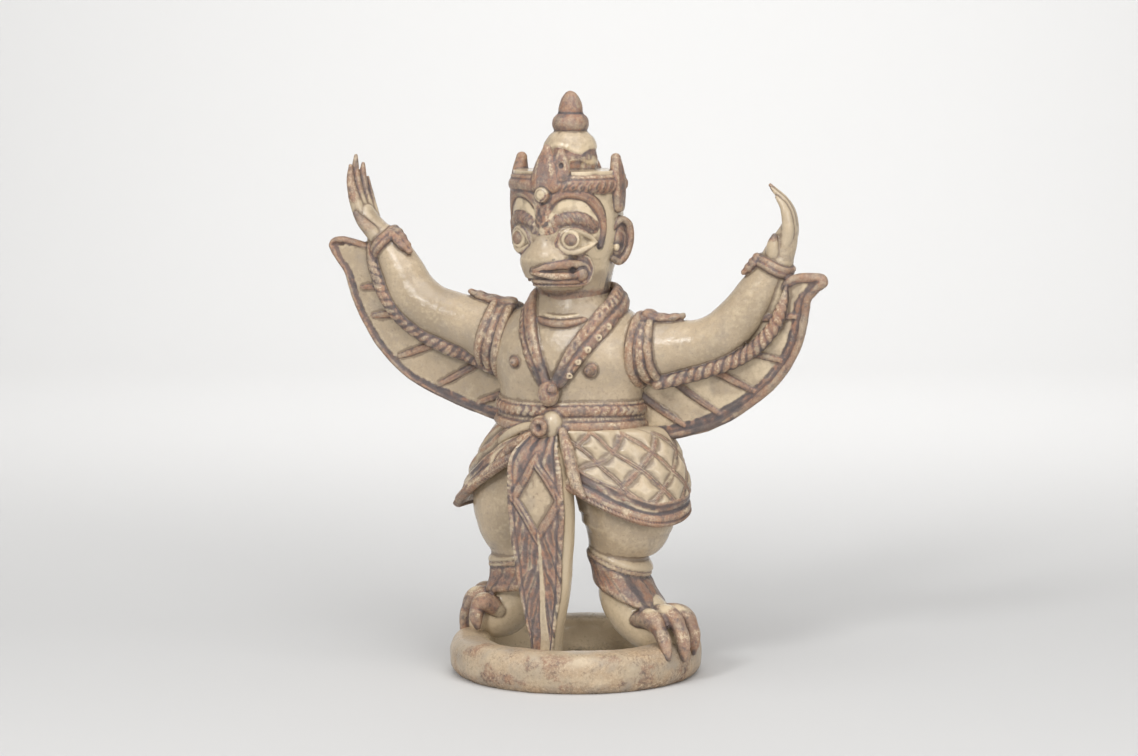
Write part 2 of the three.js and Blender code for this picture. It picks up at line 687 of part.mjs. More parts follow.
// The crown above its band: four points, and a stepped dome with lapping leaves that ends in a bud.
function crown() {
  const point = (turn, from, tall, wide, thick) => {
    const at = (radius, z) => place(radius * Math.sin(turn), -radius * Math.cos(turn), z);
    const out = new THREE.Vector3(Math.sin(turn), -Math.cos(turn), 0);
    const line = [at(31.4, from), at(31, (from + tall) / 2), at(29, tall)];
    const sizes = [[wide, thick], [wide, thick], [wide * 0.34, thick * 0.5]];
    return roll(line, sizes, { section: round(5), steps: 2, face: out });
  };
  const tiers = [
    [16.6, 280, 0], [15.4, 293, 2.4], [16.6, 295, 2.4], [14.8, 300.6, 0.8], [8.6, 305.4, 0],
    [10.5, 307.6, 0], [10.4, 313, 0], [7.3, 315, 0], [6.9, 319, 0], [4.6, 325, 0],
  ];
  const dome = tiers.map(([radius, z, scallop]) =>
    Array.from({ length: 12 }, (_, j) => {
      const turn = (Math.PI * j) / 6;
      const lap = scallop * Math.cos(3 * turn);
      return place(1 + radius * Math.sin(turn), 1 - radius * Math.cos(turn), z + lap);
    }),
  );
  return union([
    point(0, 274, 297, 8.6, 4),
    point(Math.PI / 2, 262, 291.6, 5.8, 4),
    point(-Math.PI / 2, 262, 291.6, 5.8, 4),
    point(Math.PI, 274, 292, 6.4, 4),
    solid(skin(dome, { endPole: place(1, 1, 328) })),
  ]);
}

function head() {
  const carved = union([skull(), bill(), faceCarving(), ear(1), ear(-1), crown()]);
  return carved.rotate([0, 0, headTurn]).translate([headAxis[0] * share, headAxis[1] * share, 0]);
}

const clay = union([
  ringBase(),
  torso(),
  ...legs.map(leg),
  ...feet.map(foot),
  skirt(),
  sash(),
  knot(),
  necklace(),
  arm(arms.right),
  arm(arms.left),
  rightHand(),
  leftHand(),
  wing(wings.right),
  wing(wings.left),
  head(),
]);

const { numProp, numVert, vertProperties, triVerts } = clay.getMesh();
const corners = Array.from({ length: numVert }, (_, i) =>
  new THREE.Vector3().fromArray(vertProperties, i * numProp),
);
const geometry = new THREE.BufferGeometry().setFromPoints(corners);
geometry.setIndex([...triVerts]);
geometry.computeVertexNormals();

// The origin is at the middle of the box that the figure fills, on the surface that it stands on.
geometry.computeBoundingBox();
const box = geometry.boundingBox;
geometry.translate(-(box.min.x + box.max.x) / 2, -(box.min.y + box.max.y) / 2, -box.min.z);

const glaze = new THREE.MeshStandardMaterial({ color: 0xb5a78c, roughness: 0.35, metalness: 0 });
const figure = new THREE.Mesh(geometry, glaze);
figure.name = "garuda_figure";

const group = new THREE.Group();
group.add(figure);

export default group;
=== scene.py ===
import bpy
import numpy as np
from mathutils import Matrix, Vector


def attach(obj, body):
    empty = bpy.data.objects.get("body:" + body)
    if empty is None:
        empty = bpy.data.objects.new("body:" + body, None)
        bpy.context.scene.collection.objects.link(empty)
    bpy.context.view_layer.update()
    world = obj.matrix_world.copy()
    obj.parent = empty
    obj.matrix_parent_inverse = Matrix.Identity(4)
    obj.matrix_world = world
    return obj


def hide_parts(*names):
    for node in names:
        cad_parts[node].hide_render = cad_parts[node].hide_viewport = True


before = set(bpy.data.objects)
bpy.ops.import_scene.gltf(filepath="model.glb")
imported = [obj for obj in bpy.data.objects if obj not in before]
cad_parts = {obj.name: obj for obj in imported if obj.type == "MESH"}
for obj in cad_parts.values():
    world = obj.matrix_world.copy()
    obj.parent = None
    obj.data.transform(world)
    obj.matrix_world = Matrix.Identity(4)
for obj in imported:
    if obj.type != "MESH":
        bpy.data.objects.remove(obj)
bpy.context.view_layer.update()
coarse = 1.0

# The figure is drawn in millimetres round the ring's centre, and shifted into the part's own frame.
drawnShift = np.array([1.25, 0.21, 0.0])
metre = 0.001  # one drawn millimetre
forward = np.array([0.0, -1.0, 0.0])
upward = np.array([0.0, 0.0, 1.0])


# Curves and noise.

# A smooth curve through the points, asked for by shares t of its length. Between points b and c the place is
# the cubic whose ends are b and c and whose slopes are (c - a) / 2 and (d - b) / 2.
def curveAt(points, t, closed=False, slope=False):
    p = np.asarray(points, float)
    if p.ndim == 1:
        p = p[:, None]
    spans = len(p) if closed else len(p) - 1
    s = np.asarray(t, float) * spans
    i = np.floor(s).astype(int)
    i = i % spans if closed else np.clip(i, 0, spans - 1)
    f = ((s - np.floor(s)) if closed else (s - i))[:, None]
    if closed:
        a, b, c, d = (p[(i + k) % len(p)] for k in (-1, 0, 1, 2))
    else:
        p = np.vstack([2 * p[0] - p[1], p, 2 * p[-1] - p[-2]])
        a, b, c, d = (p[i + k] for k in (0, 1, 2, 3))
    m0, m1 = (c - a) / 2, (d - b) / 2
    c2 = -3 * b + 3 * c - 2 * m0 - m1
    c3 = 2 * b - 2 * c + m0 + m1
    if slope:
        return unit(m0 + 2 * c2 * f + 3 * c3 * f * f)
    return b + m0 * f + c2 * f * f + c3 * f ** 3


def unit(v):
    return v / np.maximum(np.linalg.norm(v, axis=-1, keepdims=True), 1e-9)


# Angles in equal steps round a full turn.
def circle(count):
    return 2 * np.pi * np.arange(count) / count


# Places from their three coordinates, each of which may be a number, a row, a column or a grid.
def places(x, y, z):
    return np.stack(np.broadcast_arrays(x, y, z), -1)


# 0 below the low value, 1 above the high one, and s*s*(3 - 2s) between.
def ramp(low, high, x):
    s = np.clip((np.asarray(x, float) - low) / (high - low), 0, 1)
    return s * s * (3 - 2 * s)


# 1 at the middle, and less on both sides of it: e to the power of minus ((x - middle) / width) squared.
def bell(x, middle, width):
    return np.exp(-((x - middle) / width) ** 2)


# Smooth random lumps of about the given size in mm: random values on a lattice, mixed by the smooth shares of
# the cell, from -1 to 1. The large whole numbers only stir the lattice's own numbers into random ones.
def lumps(points, size, seed=0):
    q = np.asarray(points, float) / size + 31.7 * seed
    cell = np.floor(q).astype(np.int64)
    f = q - cell
    f = f * f * (3 - 2 * f)
    total = np.zeros(q.shape[:-1])
    for corner in np.ndindex(2, 2, 2):
        x, y, z = (cell[..., k] + corner[k] for k in range(3))
        h = (x * 73856093) ^ (y * 19349663) ^ (z * 83492791) ^ (seed * 2654435)
        h = (h ^ (h >> 13)) * 1274126177 & 0x7FFFFFFF
        h = (h ^ (h >> 16)) & 0xFFFFF
        u, v, w = (f[..., k] if corner[k] else 1 - f[..., k] for k in range(3))
        total += u * v * w * (h / 524287.5 - 1)
    return total


# Clay parts.

# Each clay part is its points, its triangles and its paint: iron brown, dark lines, pooled glaze, and
# relief in mm that is pushed out along the surface once the parts are joined. In a few places the dark paint
# also carries painted shade, and the pooled glaze painted light.
paintNames = ("iron", "dark", "pool", "relief")
endRings = 5  # rings that round off each end of a roll


def part(points, triangles, **paint):
    made = {"points": points, "triangles": triangles}
    for name in paintNames:
        made[name] = np.broadcast_to(np.asarray(paint.get(name, 0.0), float), (len(points),)).copy()
    return made


# Two triangles for each cell of a grid of rows and columns.
def gridTriangles(rows, columns, closedRows=False):
    i, j = np.meshgrid(np.arange(rows if closedRows else rows - 1), np.arange(columns), indexing="ij")
    i2, j2 = (i + 1) % rows, (j + 1) % columns
    corners = (i * columns + j, i * columns + j2, i2 * columns + j2, i2 * columns + j)
    a, b, c, d = (corner.ravel() for corner in corners)
    return np.concatenate([np.stack([a, b, c], 1), np.stack([a, c, d], 1)])


# A closed skin over a grid of rings, shape (rows, columns, 3), with a pole in the middle of each end ring.
# Where the rings are closed, the last one meets the first and there are no poles.
def skin(rings, closed=False, **paint):
    rows, columns = rings.shape[:2]
    points, triangles = rings.reshape(-1, 3), gridTriangles(rows, columns, closed)
    flat = {name: np.broadcast_to(values, (rows, columns)).ravel() for name, values in paint.items()}
    if not closed:
        points = np.vstack([points, rings[0].mean(0), rings[-1].mean(0)])
        j = np.arange(columns)
        j2 = (j + 1) % columns
        first, last = rows * columns, (rows - 1) * columns
        triangles = np.concatenate([
            triangles,
            np.stack([np.full(columns, first), j2, j], 1),
            np.stack([np.full(columns, first + 1), last + j, last + j2], 1),
        ])
        for name, v in flat.items():
            flat[name] = np.concatenate([v, [v[:columns].mean(), v[-columns:].mean()]])
    return turnedOut(part(points, triangles, **flat))


# A closed mesh whose signed volume is negative has its triangles turned round.
def turnedOut(made):
    a, b, c = (made["points"][made["triangles"][:, k]] for k in range(3))
    if np.einsum("ij,ij->i", a, np.cross(b, c)).sum() < 0:
        made["triangles"] = made["triangles"][:, ::-1]
    return made


# A roll along a smooth path: at each share t of the path an oval, half width w across the path and half
# depth d towards `face`, with half-round ends. `shape(angle, t)` gives a factor on the oval's radius, and
# `look(angle, t)` gives its paint. The angle is 0 across the path and a quarter turn towards the face.
def roll(
        points, sizes, sides=20, steps=48, face=forward, closed=False, ends=1.0, shape=None, look=None,
        **paint):
    sizes = np.asarray([s if np.ndim(s) else (s, s) for s in sizes], float)
    t = np.arange(steps) / steps if closed else np.linspace(0, 1, steps + 1)
    middle, ahead = curveAt(points, t, closed), curveAt(points, t, closed, slope=True)
    size = curveAt(sizes, t, closed)
    scale = np.ones(len(t))
    if not closed:
        k = np.linspace(np.pi / 2 - 0.15, 0, endRings + 1)[:-1]
        before = middle[0] - ahead[0] * size[0, 1] * ends * np.sin(k)[:, None]
        after = middle[-1] + ahead[-1] * size[-1, 1] * ends * np.sin(k[::-1])[:, None]
        middle = np.vstack([before, middle, after])
        ahead, size = (np.pad(v, ((endRings, endRings), (0, 0)), "edge") for v in (ahead, size))
        scale = np.concatenate([np.cos(k), scale, np.cos(k[::-1])])
        t = np.pad(t, endRings, "edge")
    out = face(middle) if callable(face) else np.broadcast_to(np.asarray(face, float), middle.shape)
    out = unit(out - (out * ahead).sum(1, keepdims=True) * ahead)
    across = np.cross(ahead, out)
    angle = circle(sides)
    factor = shape(angle[None, :], t[:, None]) if shape else 1.0
    u = np.cos(angle) * factor * (size[:, 0] * scale)[:, None]
    v = np.sin(angle) * factor * (size[:, 1] * scale)[:, None]
    rings = middle[:, None] + across[:, None] * u[..., None] + out[:, None] * v[..., None]
    if look:
        paint = {**paint, **look(angle[None, :], t[:, None])}
    return skin(rings, closed, **paint)


# A body of level slices (height, middle x, middle y, half width, half depth), run smoothly through the
# slices. A corner value over 2 squares the ovals off. Its shape and look are asked for by turn and height.
def stack(slices, sides=96, rows=90, corner=2.0, shape=None, look=None, **paint):
    s = curveAt(slices, np.linspace(0, 1, rows))
    z, x, y, halfWidth, halfDepth = (s[:, k:k + 1] for k in range(5))
    turn = circle(sides)
    c, n = np.sin(turn), -np.cos(turn)
    factor = ((np.abs(c) ** corner + np.abs(n) ** corner) ** (-1 / corner))[None, :]
    if shape:
        factor = factor * shape(turn[None, :], z)
    if look:
        paint = {**paint, **look(turn[None, :], z)}
    return skin(places(x + halfWidth * c * factor, y + halfDepth * n * factor, z), **paint)


# A ball with half sizes along X, Y and Z, leaning about Y by an angle.
def egg(middle, size, lean=0.0, sides=28, rows=18, **paint):
    polar = np.linspace(0.06, np.pi - 0.06, rows)[:, None]
    turn = circle(sides)[None, :]
    x, y = size[0] * np.sin(polar) * np.cos(turn), size[1] * np.sin(polar) * np.sin(turn)
    z = size[2] * np.cos(polar)
    rings = places(x * np.cos(lean) + z * np.sin(lean), y, z * np.cos(lean) - x * np.sin(lean))
    return skin(rings + np.asarray(middle, float), **paint)


# A ring of clay round a point, lying in the plane across `facing`.
def washer(centre, facing, radius, thick, **paint):
    facing = unit(np.asarray(facing, float))
    side = unit(np.cross(facing, upward))
    top = np.cross(side, facing)
    k = circle(8)
    loop = np.asarray(centre, float) + radius * (np.cos(k)[:, None] * side + np.sin(k)[:, None] * top)
    return roll(loop, [thick, thick], sides=12, steps=28, face=facing, closed=True, **paint)


# Turns a part about the vertical through the origin by degrees, then moves it.
def turned(made, degrees, by=(0, 0, 0)):
    a = np.radians(degrees)
    x, y, z = made["points"].T
    level = x * np.cos(a) - y * np.sin(a), x * np.sin(a) + y * np.cos(a)
    made["points"] = places(*level, z) + np.asarray(by)
    return made


def outward(middle):
    return unit(middle * np.array([1, 1, 0]))


# How far round towards a roll's two sides: 0 on its top, 1 at the sides.
def toSide(a):
    return np.abs(np.cos(a))


# Short brushed streaks along a roll: lumps stretched along its length, from -1 to 1.
def streaks(a, t, length, size, seed, wide=6.0):
    return lumps(places(length * t / 2.6, wide * np.cos(a), wide * np.sin(a)), size, seed)


# The paint of a brown roll of some length in mm: dark in its sides, from low to high, and streaks that are
# dark, pooled or raised. A streak is (amount, low, high, size, seed), and the relief is (amount, size,
# seed).
def rustLook(length, sides, dark, pool, relief, iron=0.95):
    def brushed(a, t, amount, low, high, size, seed):
        return amount * ramp(low, high, streaks(a, t, length, size, seed))

    def look(a, t):
        amount, low, high = sides
        height, size, seed = relief
        return {"iron": iron, "dark": amount * ramp(low, high, toSide(a)) + brushed(a, t, *dark),
                "pool": brushed(a, t, *pool), "relief": height * streaks(a, t, length, size, seed)}
    return look


# Joining.

smoothValues = {
    "push": 0.6, "pull": 0.61, "last": 0.35, "soften": 14, "wide": 8.5, "hollow": 0.16, "fold": 1.6}


# Averages of each point's neighbours along the mesh's edges.
def averageOf(mesh):
    edges = np.zeros(len(mesh.edges) * 2, np.int32)
    mesh.edges.foreach_get("vertices", edges)
    first, second = edges.reshape(-1, 2).T
    count = len(mesh.vertices)
    a, b = np.concatenate([first, second]), np.concatenate([second, first])
    valence = np.maximum(np.bincount(a, minlength=count), 1)

    def average(values, passes=1):
        for _ in range(passes):
            columns = values.reshape(count, -1)
            sums = [np.bincount(a, columns[b, k], count) / valence for k in range(columns.shape[1])]
            values = np.stack(sums, 1).reshape(values.shape)
        return values
    return average


# Normals at the points: each is the sum of the cross products of its faces' diagonals.
def normalsOf(points, faces):
    corner = [points[faces[:, k]] for k in range(faces.shape[1])]
    face = np.cross(corner[2] - corner[0], corner[-1] - corner[1])
    total = [sum(np.bincount(faces[:, k], face[:, axis], len(points)) for k in range(len(corner)))
             for axis in range(3)]
    return unit(np.stack(total, 1))


def addObject(name, data):
    made = bpy.data.objects.new(name, data)
    bpy.context.scene.collection.objects.link(made)
    return made


def setPlaces(mesh, points):
    mesh.vertices.foreach_set("co", ((points + drawnShift) * metre).astype(np.float32).ravel())


def newPiece(name, points, faces):
    mesh = bpy.data.meshes.new(name)
    faces = np.asarray(faces, np.int32)
    mesh.vertices.add(len(points))
    setPlaces(mesh, points)
    mesh.loops.add(faces.size)
    mesh.loops.foreach_set("vertex_index", faces.ravel())
    mesh.polygons.add(len(faces))
    mesh.polygons.foreach_set("loop_start", np.arange(0, faces.size, faces.shape[1], dtype=np.int32))
    mesh.update(calc_edges=True)
    return addObject(name, mesh)


def setValues(mesh, name, values):
    found = mesh.attributes.get(name) or mesh.attributes.new(name, "FLOAT", "POINT")
    found.data.foreach_set("value", np.asarray(values, np.float32))


def getValues(mesh, name):
    values = np.zeros(len(mesh.vertices), np.float32)
    mesh.attributes[name].data.foreach_get("value", values)
    return values.astype(float)


# Joins clay parts into one skin of even small faces, smooths it, carves the relief, and works out where the
# surface lies below its surroundings. Each smoothing pass pushes the points towards their neighbours' average
# and pulls them back a little further, so that the shape doesn't shrink.
def joinClay(name, parts, grain, smoothing, crumb, seed, carve=None, soften=None):
    grain = grain * coarse
    starts = np.cumsum([0] + [len(made["points"]) for made in parts])
    triangles = [made["triangles"] + start for made, start in zip(parts, starts)]
    piece = newPiece(name, np.vstack([made["points"] for made in parts]), np.vstack(triangles))
    for channel in paintNames:
        setValues(piece.data, channel, np.concatenate([made[channel] for made in parts]))
    bpy.context.view_layer.objects.active = piece
    piece.data.remesh_voxel_size = grain * metre
    piece.data.use_remesh_fix_poles = False
    piece.data.use_remesh_preserve_attributes = True
    bpy.ops.object.voxel_remesh()
    mesh = piece.data
    p = np.zeros(len(mesh.vertices) * 3, np.float32)
    mesh.vertices.foreach_get("co", p)
    p = p.reshape(-1, 3).astype(float) * 1000 - drawnShift
    quads = np.zeros(len(mesh.loops), np.int32)
    mesh.loops.foreach_get("vertex_index", quads)
    quads = quads.reshape(-1, 4)
    average = averageOf(mesh)
    for _ in range(smoothing):
        p = p + smoothValues["push"] * (average(p) - p)
        p = p - smoothValues["pull"] * (average(p) - p)
    p = p + smoothValues["last"] * (average(p) - p)
    if soften:
        share = soften(p)[:, None]
        for _ in range(int(smoothValues["soften"] / grain)):
            p = p + 0.5 * share * (average(p) - p)
    paint = {channel: getValues(mesh, channel) for channel in paintNames}
    for channel in paintNames:
        for _ in range(1 if channel == "relief" else 2):
            paint[channel] = 0.4 * paint[channel] + 0.6 * average(paint[channel])
    normal = normalsOf(p, quads)
    if carve:
        carve(p, paint)
    relief = paint.pop("relief")
    for share, size, add in ((2.2, 13, 2), (1, 5, 0), (0.5, 1.9, 1)):
        relief = relief + share * crumb * lumps(p, size, seed + add)
    p = p + normal * relief[:, None]
    mesh.attributes.remove(mesh.attributes["relief"])
    return finishMesh(piece, p, normalsOf(p, quads), average, paint, 3, int(smoothValues["wide"] / grain))


# A piece whose grid is kept as it is: finer lumps, and the paint's values.
def finishGrid(name, made, crumb, seed):
    p = made["points"]
    piece = newPiece(name, p, made["triangles"])
    average = averageOf(piece.data)
    normal = normalsOf(p, made["triangles"])
    p = p + normal * (crumb * lumps(p, 5, seed) + 0.5 * crumb * lumps(p, 1.9, seed + 1))[:, None]
    paint = {channel: average(made[channel]) for channel in ("iron", "dark", "pool")}
    return finishMesh(piece, p, normal, average, paint, 4, 12)


# Puts the final places and the paint into a piece's mesh, and how far each place lies below its surroundings,
# as 0.5 + (average place - place) along the normal / depth: hollow for the near ones, fold for the wide ones.
def finishMesh(piece, p, normal, average, paint, nearPasses, widePasses, depth=smoothValues["hollow"]):
    near = average(p, nearPasses)
    paint["hollow"] = 0.5 + ((near - p) * normal).sum(1) / depth
    if widePasses:
        paint["fold"] = 0.5 + ((average(near, widePasses) - p) * normal).sum(1) / smoothValues["fold"]
    mesh = piece.data
    for channel, amount in paint.items():
        setValues(mesh, channel, np.clip(amount, 0, 1))
    setPlaces(mesh, p)
    mesh.polygons.foreach_set("use_smooth", np.ones(len(mesh.polygons), bool))
    mesh.update()
    return piece


# Ring base.

ringBase = {"radius": 59.5, "halfWidth": 12.2, "middle": 11.2, "top": 22.7, "around": 340, "section": 72}


# A coil bent into a circle: its section is an oval squared off and pressed flat above and below. Sand and
# drips leave it rough and stained low down, worn and buff on top; its inner wall is painted pale, as painted
# light.
def makeRing(values):
    turn, angle = circle(values["around"])[:, None], circle(values["section"])[None, :]
    uneven = 1 + 0.016 * np.sin(3 * turn + 1) + 0.012 * np.sin(5 * turn)
    c, s = np.cos(angle), np.sin(angle)
    radius = values["radius"] + values["halfWidth"] * uneven * np.sign(c) * np.abs(c) ** 0.78
    rise = (values["top"] - values["middle"]) * np.sign(s) * np.abs(s) ** 0.74
    rise = np.where(rise < 0, rise * 1.14, rise * (1 + 0.012 * np.sin(4 * turn + 2)))
    coil = places(radius * np.sin(turn), -radius * np.cos(turn), values["middle"] + rise)
    made = skin(coil, True)
    p, triangles = made["points"], made["triangles"]
    piece = newPiece("ringBase", p, triangles)
    average = averageOf(piece.data)
    normal = normalsOf(p, triangles)
    long = p * np.array([1, 1, 2.2])
    inner = ramp(54, 49, np.hypot(p[:, 0], p[:, 1]))
    outerFront = ramp(10, -40, p[:, 1]) * (1 - inner)
    rough = lumps(p, 2.6, 5)
    p = p + normal * (0.55 * lumps(long, 26, 3) + 0.3 * lumps(long, 9, 4) + (0.1 + 0.16 * inner) * rough
                      + 0.06 * lumps(p, 1.4, 10) - 0.5)[:, None]
    p[:, 2] = np.where(p[:, 2] < 0.5, np.maximum(p[:, 2] * 0.4, 0), p[:, 2])
    z = p[:, 2]
    low = ramp(7.5, 1.5, z + 2.4 * lumps(p, 12, 6))
    stain = ramp(14, 4, z + 5 * lumps(p, 10, 115)) * ramp(0.0, 0.6, lumps(long, 16, 116)) * outerFront
    drips = ramp(0.1, 0.6, lumps(p, 4.5, 9)) * ramp(-0.2, 0.5, lumps(long, 24, 125)) * ramp(16, 7, z)
    sand = ramp(0.05, 0.6, lumps(p, 2.4, 8)) * ramp(9, 0.5, z)
    paint = {
        "iron": 0.55 * ramp(-0.1, 0.6, lumps(long, 14, 7)) + 0.7 * stain
                + 0.2 * inner * ramp(0.0, 0.6, lumps(long, 7, 117)),
        "dark": 0.95 * sand + 0.2 * inner * ramp(0.2, 0.8, rough) + 0.25 * stain,
        # On the inner wall the pale glaze is raised and the bare clay lowered: painted light on a wall that
        # lies in shade.
        "pool": 0.8 * drips + 1.2 * inner,
        "bare": 0.55 + 0.5 * low - 0.4 * inner + 0.3 * lumps(long, 13, 124),
        "fold": np.full(len(p), 0.5),
    }
    paint = {channel: average(amount, 2) for channel, amount in paint.items()}
    return finishMesh(piece, p, normal, average, paint, 8, 0, 0.3)


# Legs and feet.

legValues = {
    "grain": 0.88,
    "toeShares": [0, 0.2, 0.36, 0.5, 0.64, 0.86, 1],
    "toeSizes": [4.4, 5.6, 6.0, 4.9, 4.2, 3.1, 1.9],
    "left": {
        "side": 1,
        "cuff": (26.6, 0, 65.2),
        "tilt": 0.36,
        "flare": 20.6,
        "drift": 1.02,
        "wide": 1.05,
        "thigh": [(22, 2, 122), (30.5, 1, 98), (30.4, 0, 84), (27, 0, 70), (28, 0, 56)],
        "thick": [26, 27.4, 25.0, 17.5, 14],
        "shank": [(29, 0, 58), (31, 0, 45), (38.8, -1, 35.2), (48.8, -2, 27.6), (57, -3, 21)],
        "shankThick": [13.5, 15.4, 15.8, 14.4, 10.5],
        "toes": [
            [
                (38, -11, 32.5), (47.5, -15.5, 35.6), (54.6, -18.4, 34.6), (60.0, -21.4, 28),
                (63.4, -24.0, 22), (65.6, -25.8, 16.5)],
            [
                (43, -5, 33.5), (55, -9, 37.4), (62.8, -11.5, 36.2), (68.4, -14, 28.5), (71.0, -15.4, 20.5),
                (71.6, -15.8, 14.5)],
            [
                (45, 3, 34), (57, 1.6, 36.6), (65.6, 0.6, 35), (70.2, 0, 27.5), (71.4, -0.4, 20.5),
                (71.2, -0.6, 15.5)]]},
    "right": {
        "side": -1,
        "cuff": (-33.5, 0, 62),
        "tilt": 0.14,
        "flare": 20.6,
        "drift": 0.1,
        "wide": 1.0,
        "thigh": [(-25, 2, 122), (-34, 1, 98), (-35, 0, 84), (-33, 0, 70), (-33, 0, 56)],
        "thick": [26, 27, 23.6, 18.4, 15],
        "shank": [(-33, 0, 58), (-35.5, 0, 45), (-41, 0, 35), (-48, -1, 29.5), (-55, -2, 26)],
        "shankThick": [12.8, 14, 15.0, 14.6, 11.0],
        "toes": [
            [
                (-44, -6, 36), (-53, -7, 40.4), (-59.4, -8, 38.4), (-63.2, -8.6, 31.5), (-64.6, -9, 24),
                (-64.8, -9.5, 16.5)],
            [(-41, -13, 34), (-47.5, -17, 38.4), (-51.4, -19.4, 35.6), (-52, -21, 30), (-51, -21.6, 25.4)],
            [(-48, 6, 38), (-58, 7, 40.5), (-64, 8, 36), (-67.4, 9, 28), (-68.4, 9.5, 18)]]}}


# A cuff is a profile of radius and height, smooth between its points, turned about the leg's own tilted
# axis. Below the ankle rolls its middle drifts outwards by a share of the fall.
def makeCuff(values):
    tilt, side, flare = values["tilt"], values["side"], values["flare"]
    axis = np.array([side * np.sin(tilt), 0, np.cos(tilt)])
    across = np.array([np.cos(tilt), 0, -side * np.sin(tilt)])
    profile = [
        (10, -11), (flare - 5, -14.2), (flare - 1.6, -16.0), (flare - 0.1, -15.2), (flare + 0.1, -13.4),
        (flare - 0.9, -11), (flare - 2.0, -7.5), (18.3, -3.0), (17.7, -1.8), (18.3, -1.2), (18.5, -0.4),
        (18.1, 0.5), (17.6, 1.0), (18.1, 1.6), (18.3, 2.4), (17.9, 3.3), (17.2, 4.4), (14.5, 6.4), (8, 8.0)]
    s = curveAt(profile, np.linspace(0, 1, 120))
    radius, height = s[:, 0:1], s[:, 1:2]
    turn = circle(120)
    uneven = 1 + 0.02 * np.sin(2 * turn + 1) + 0.018 * np.sin(5 * turn + 2)
    brown = ramp(-2.0, -3.4, height) * ramp(-17.5, -15.8, height)
    shaky = lumps(places(height * 0.5, 9 * turn, 0.0), 2.0, 12)
    strokes = np.sin(13 * turn * side - 0.30 * height + 1.3 * np.sin(3 * turn) + 1.6 * shaky)
    drift = values["drift"] * side * np.clip(-height - 2, 0, None)
    around = across * np.cos(turn)[:, None] + forward * np.sin(turn)[:, None]
    rings = (np.asarray(values["cuff"], float) + axis * height[..., None] + drift[..., None] * across
             + (radius * values["wide"] * uneven)[..., None] * around)
    grooves = 0.95 * bell(height, -1.9, 0.8) + 0.7 * bell(height, 1.0, 0.5)
    rolls = 0.5 * ramp(-3.0, -1.4, height) * ramp(1.6, 0.8, height)
    dark = np.clip(brown * ramp(0.2, 0.95, strokes) * 0.85 + grooves, 0, 1)
    return skin(rings, iron=brown + rolls, dark=dark, relief=brown * 0.12 * strokes, pool=0.1)


# A toe is brown but for a pale patch on its knuckle, and dark in its sides and at its claw.
def toeLook(k):
    def look(a, t):
        top = np.sin(a + 0.5 * k)
        return {
            "dark": 0.5 * ramp(0.86, 1, t) + 0.45 * ramp(0.1, 0.0, t)
                + 0.5 * ramp(0.75, 1, toSide(a)) * ramp(0.2, 0.4, t),
            "pool": 0.9 * bell(t, 0.3, 0.1) * ramp(0.35, 0.95, top) + 0.4 * bell(t, 0.66, 0.05),
            "iron": ramp(0.0, 0.12, t) * (1 - 0.9 * bell(t, 0.31, 0.07) * ramp(0.45, 0.95, top)),
            "relief": -0.45 * bell(t, 0.55, 0.05) + 0.25 * np.sin(9 * t + 3 * a + k)}
    return look


def makeLegs(values):
    parts = []
    for leg in (values["left"], values["right"]):
        parts.append(roll(leg["thigh"], leg["thick"], sides=72, steps=60, iron=0.17))
        parts.append(makeCuff(leg))
        parts.append(roll(leg["shank"], leg["shankThick"], sides=56, steps=44, pool=0.75))
        for k, toe in enumerate(leg["toes"]):
            t = np.linspace(0, 1, 13)
            size = np.interp(t, values["toeShares"], values["toeSizes"])
            parts.append(roll(curveAt(toe, t), size, sides=26, steps=60, face=upward, look=toeLook(k)))
    return joinClay("legsAndFeet", parts, values["grain"], smoothing=3, crumb=0.1, seed=11)


# Skirt.

skirtValues = {
    "columns": 31, "rows": 4.3, "around": 420, "down": 100, "wall": 4.2, "cord": 0.5, "pillow": 1.25,
    "strapHalf": 0.6, "belt": 142, "halfWidth": 42, "halfDepth": 33, "wider": 27.6, "deeper": 10,
    "hem": {"knot": 131, "back": 100, "right": 92, "left": 90.5, "knotRise": 25.5, "sideRise": 9.5},
}


# The hem falls from the knot to the outside of each thigh, and rises again behind: its height is the side's
# height plus the rise to the knot or the back, times one less the sine of the turn, to a power. On the left
# it is lowest in front of the thigh, and curves up again at the side.
def hemHeight(turn):
    hem = skirtValues["hem"]
    left = np.sin(turn) >= 0
    away = np.abs(np.arctan2(np.sin(turn), np.cos(turn)))
    rise = np.abs(np.sin(away)) ** 2
    end = np.where(away < np.pi / 2, hem["knot"], hem["back"])
    onRight = hem["right"] + (end - hem["right"]) * (1 - rise)
    fromKnot = np.sin(np.pi / 2 * np.clip(away / 1.1, 0, 1)) ** 1.3
    onLeft = hem["left"] + hem["knotRise"] * (1 - fromKnot) + hem["sideRise"] * ramp(1.1, 2.4, away)
    return np.where(left, onLeft, onRight)


# The outside of the skirt is an oval at each height, whose half width and half depth grow with the fall from
# the belt, to a power that makes the left side bulge and the right side sweep out. Near the hem the left side
# draws in again.
def skirtPlace(turn, down, proud):
    belt = skirtValues["belt"]
    height = belt + (hemHeight(turn) - belt) * down
    fall = np.clip((belt - height) / 50, 0, None)
    left = 1 / (1 + np.exp(-12 * np.sin(turn)))
    bend = 0.75 + (0.3 - 0.75) * left
    spread = np.maximum(fall, 1e-6) ** (bend + (1 - bend) * np.cos(turn) ** 2)
    belly = left * np.clip(np.sin(turn), 0, 1) * (
        1.6 * np.sin(np.pi * np.clip(down, 0, 1)) - 2.6 * ramp(0.72, 1, down))
    width = skirtValues["halfWidth"] + skirtValues["wider"] * spread + proud + belly
    depth = skirtValues["halfDepth"] + skirtValues["deeper"] * spread + proud
    return places(-1.5 + width * np.sin(turn), -depth * np.cos(turn), height)


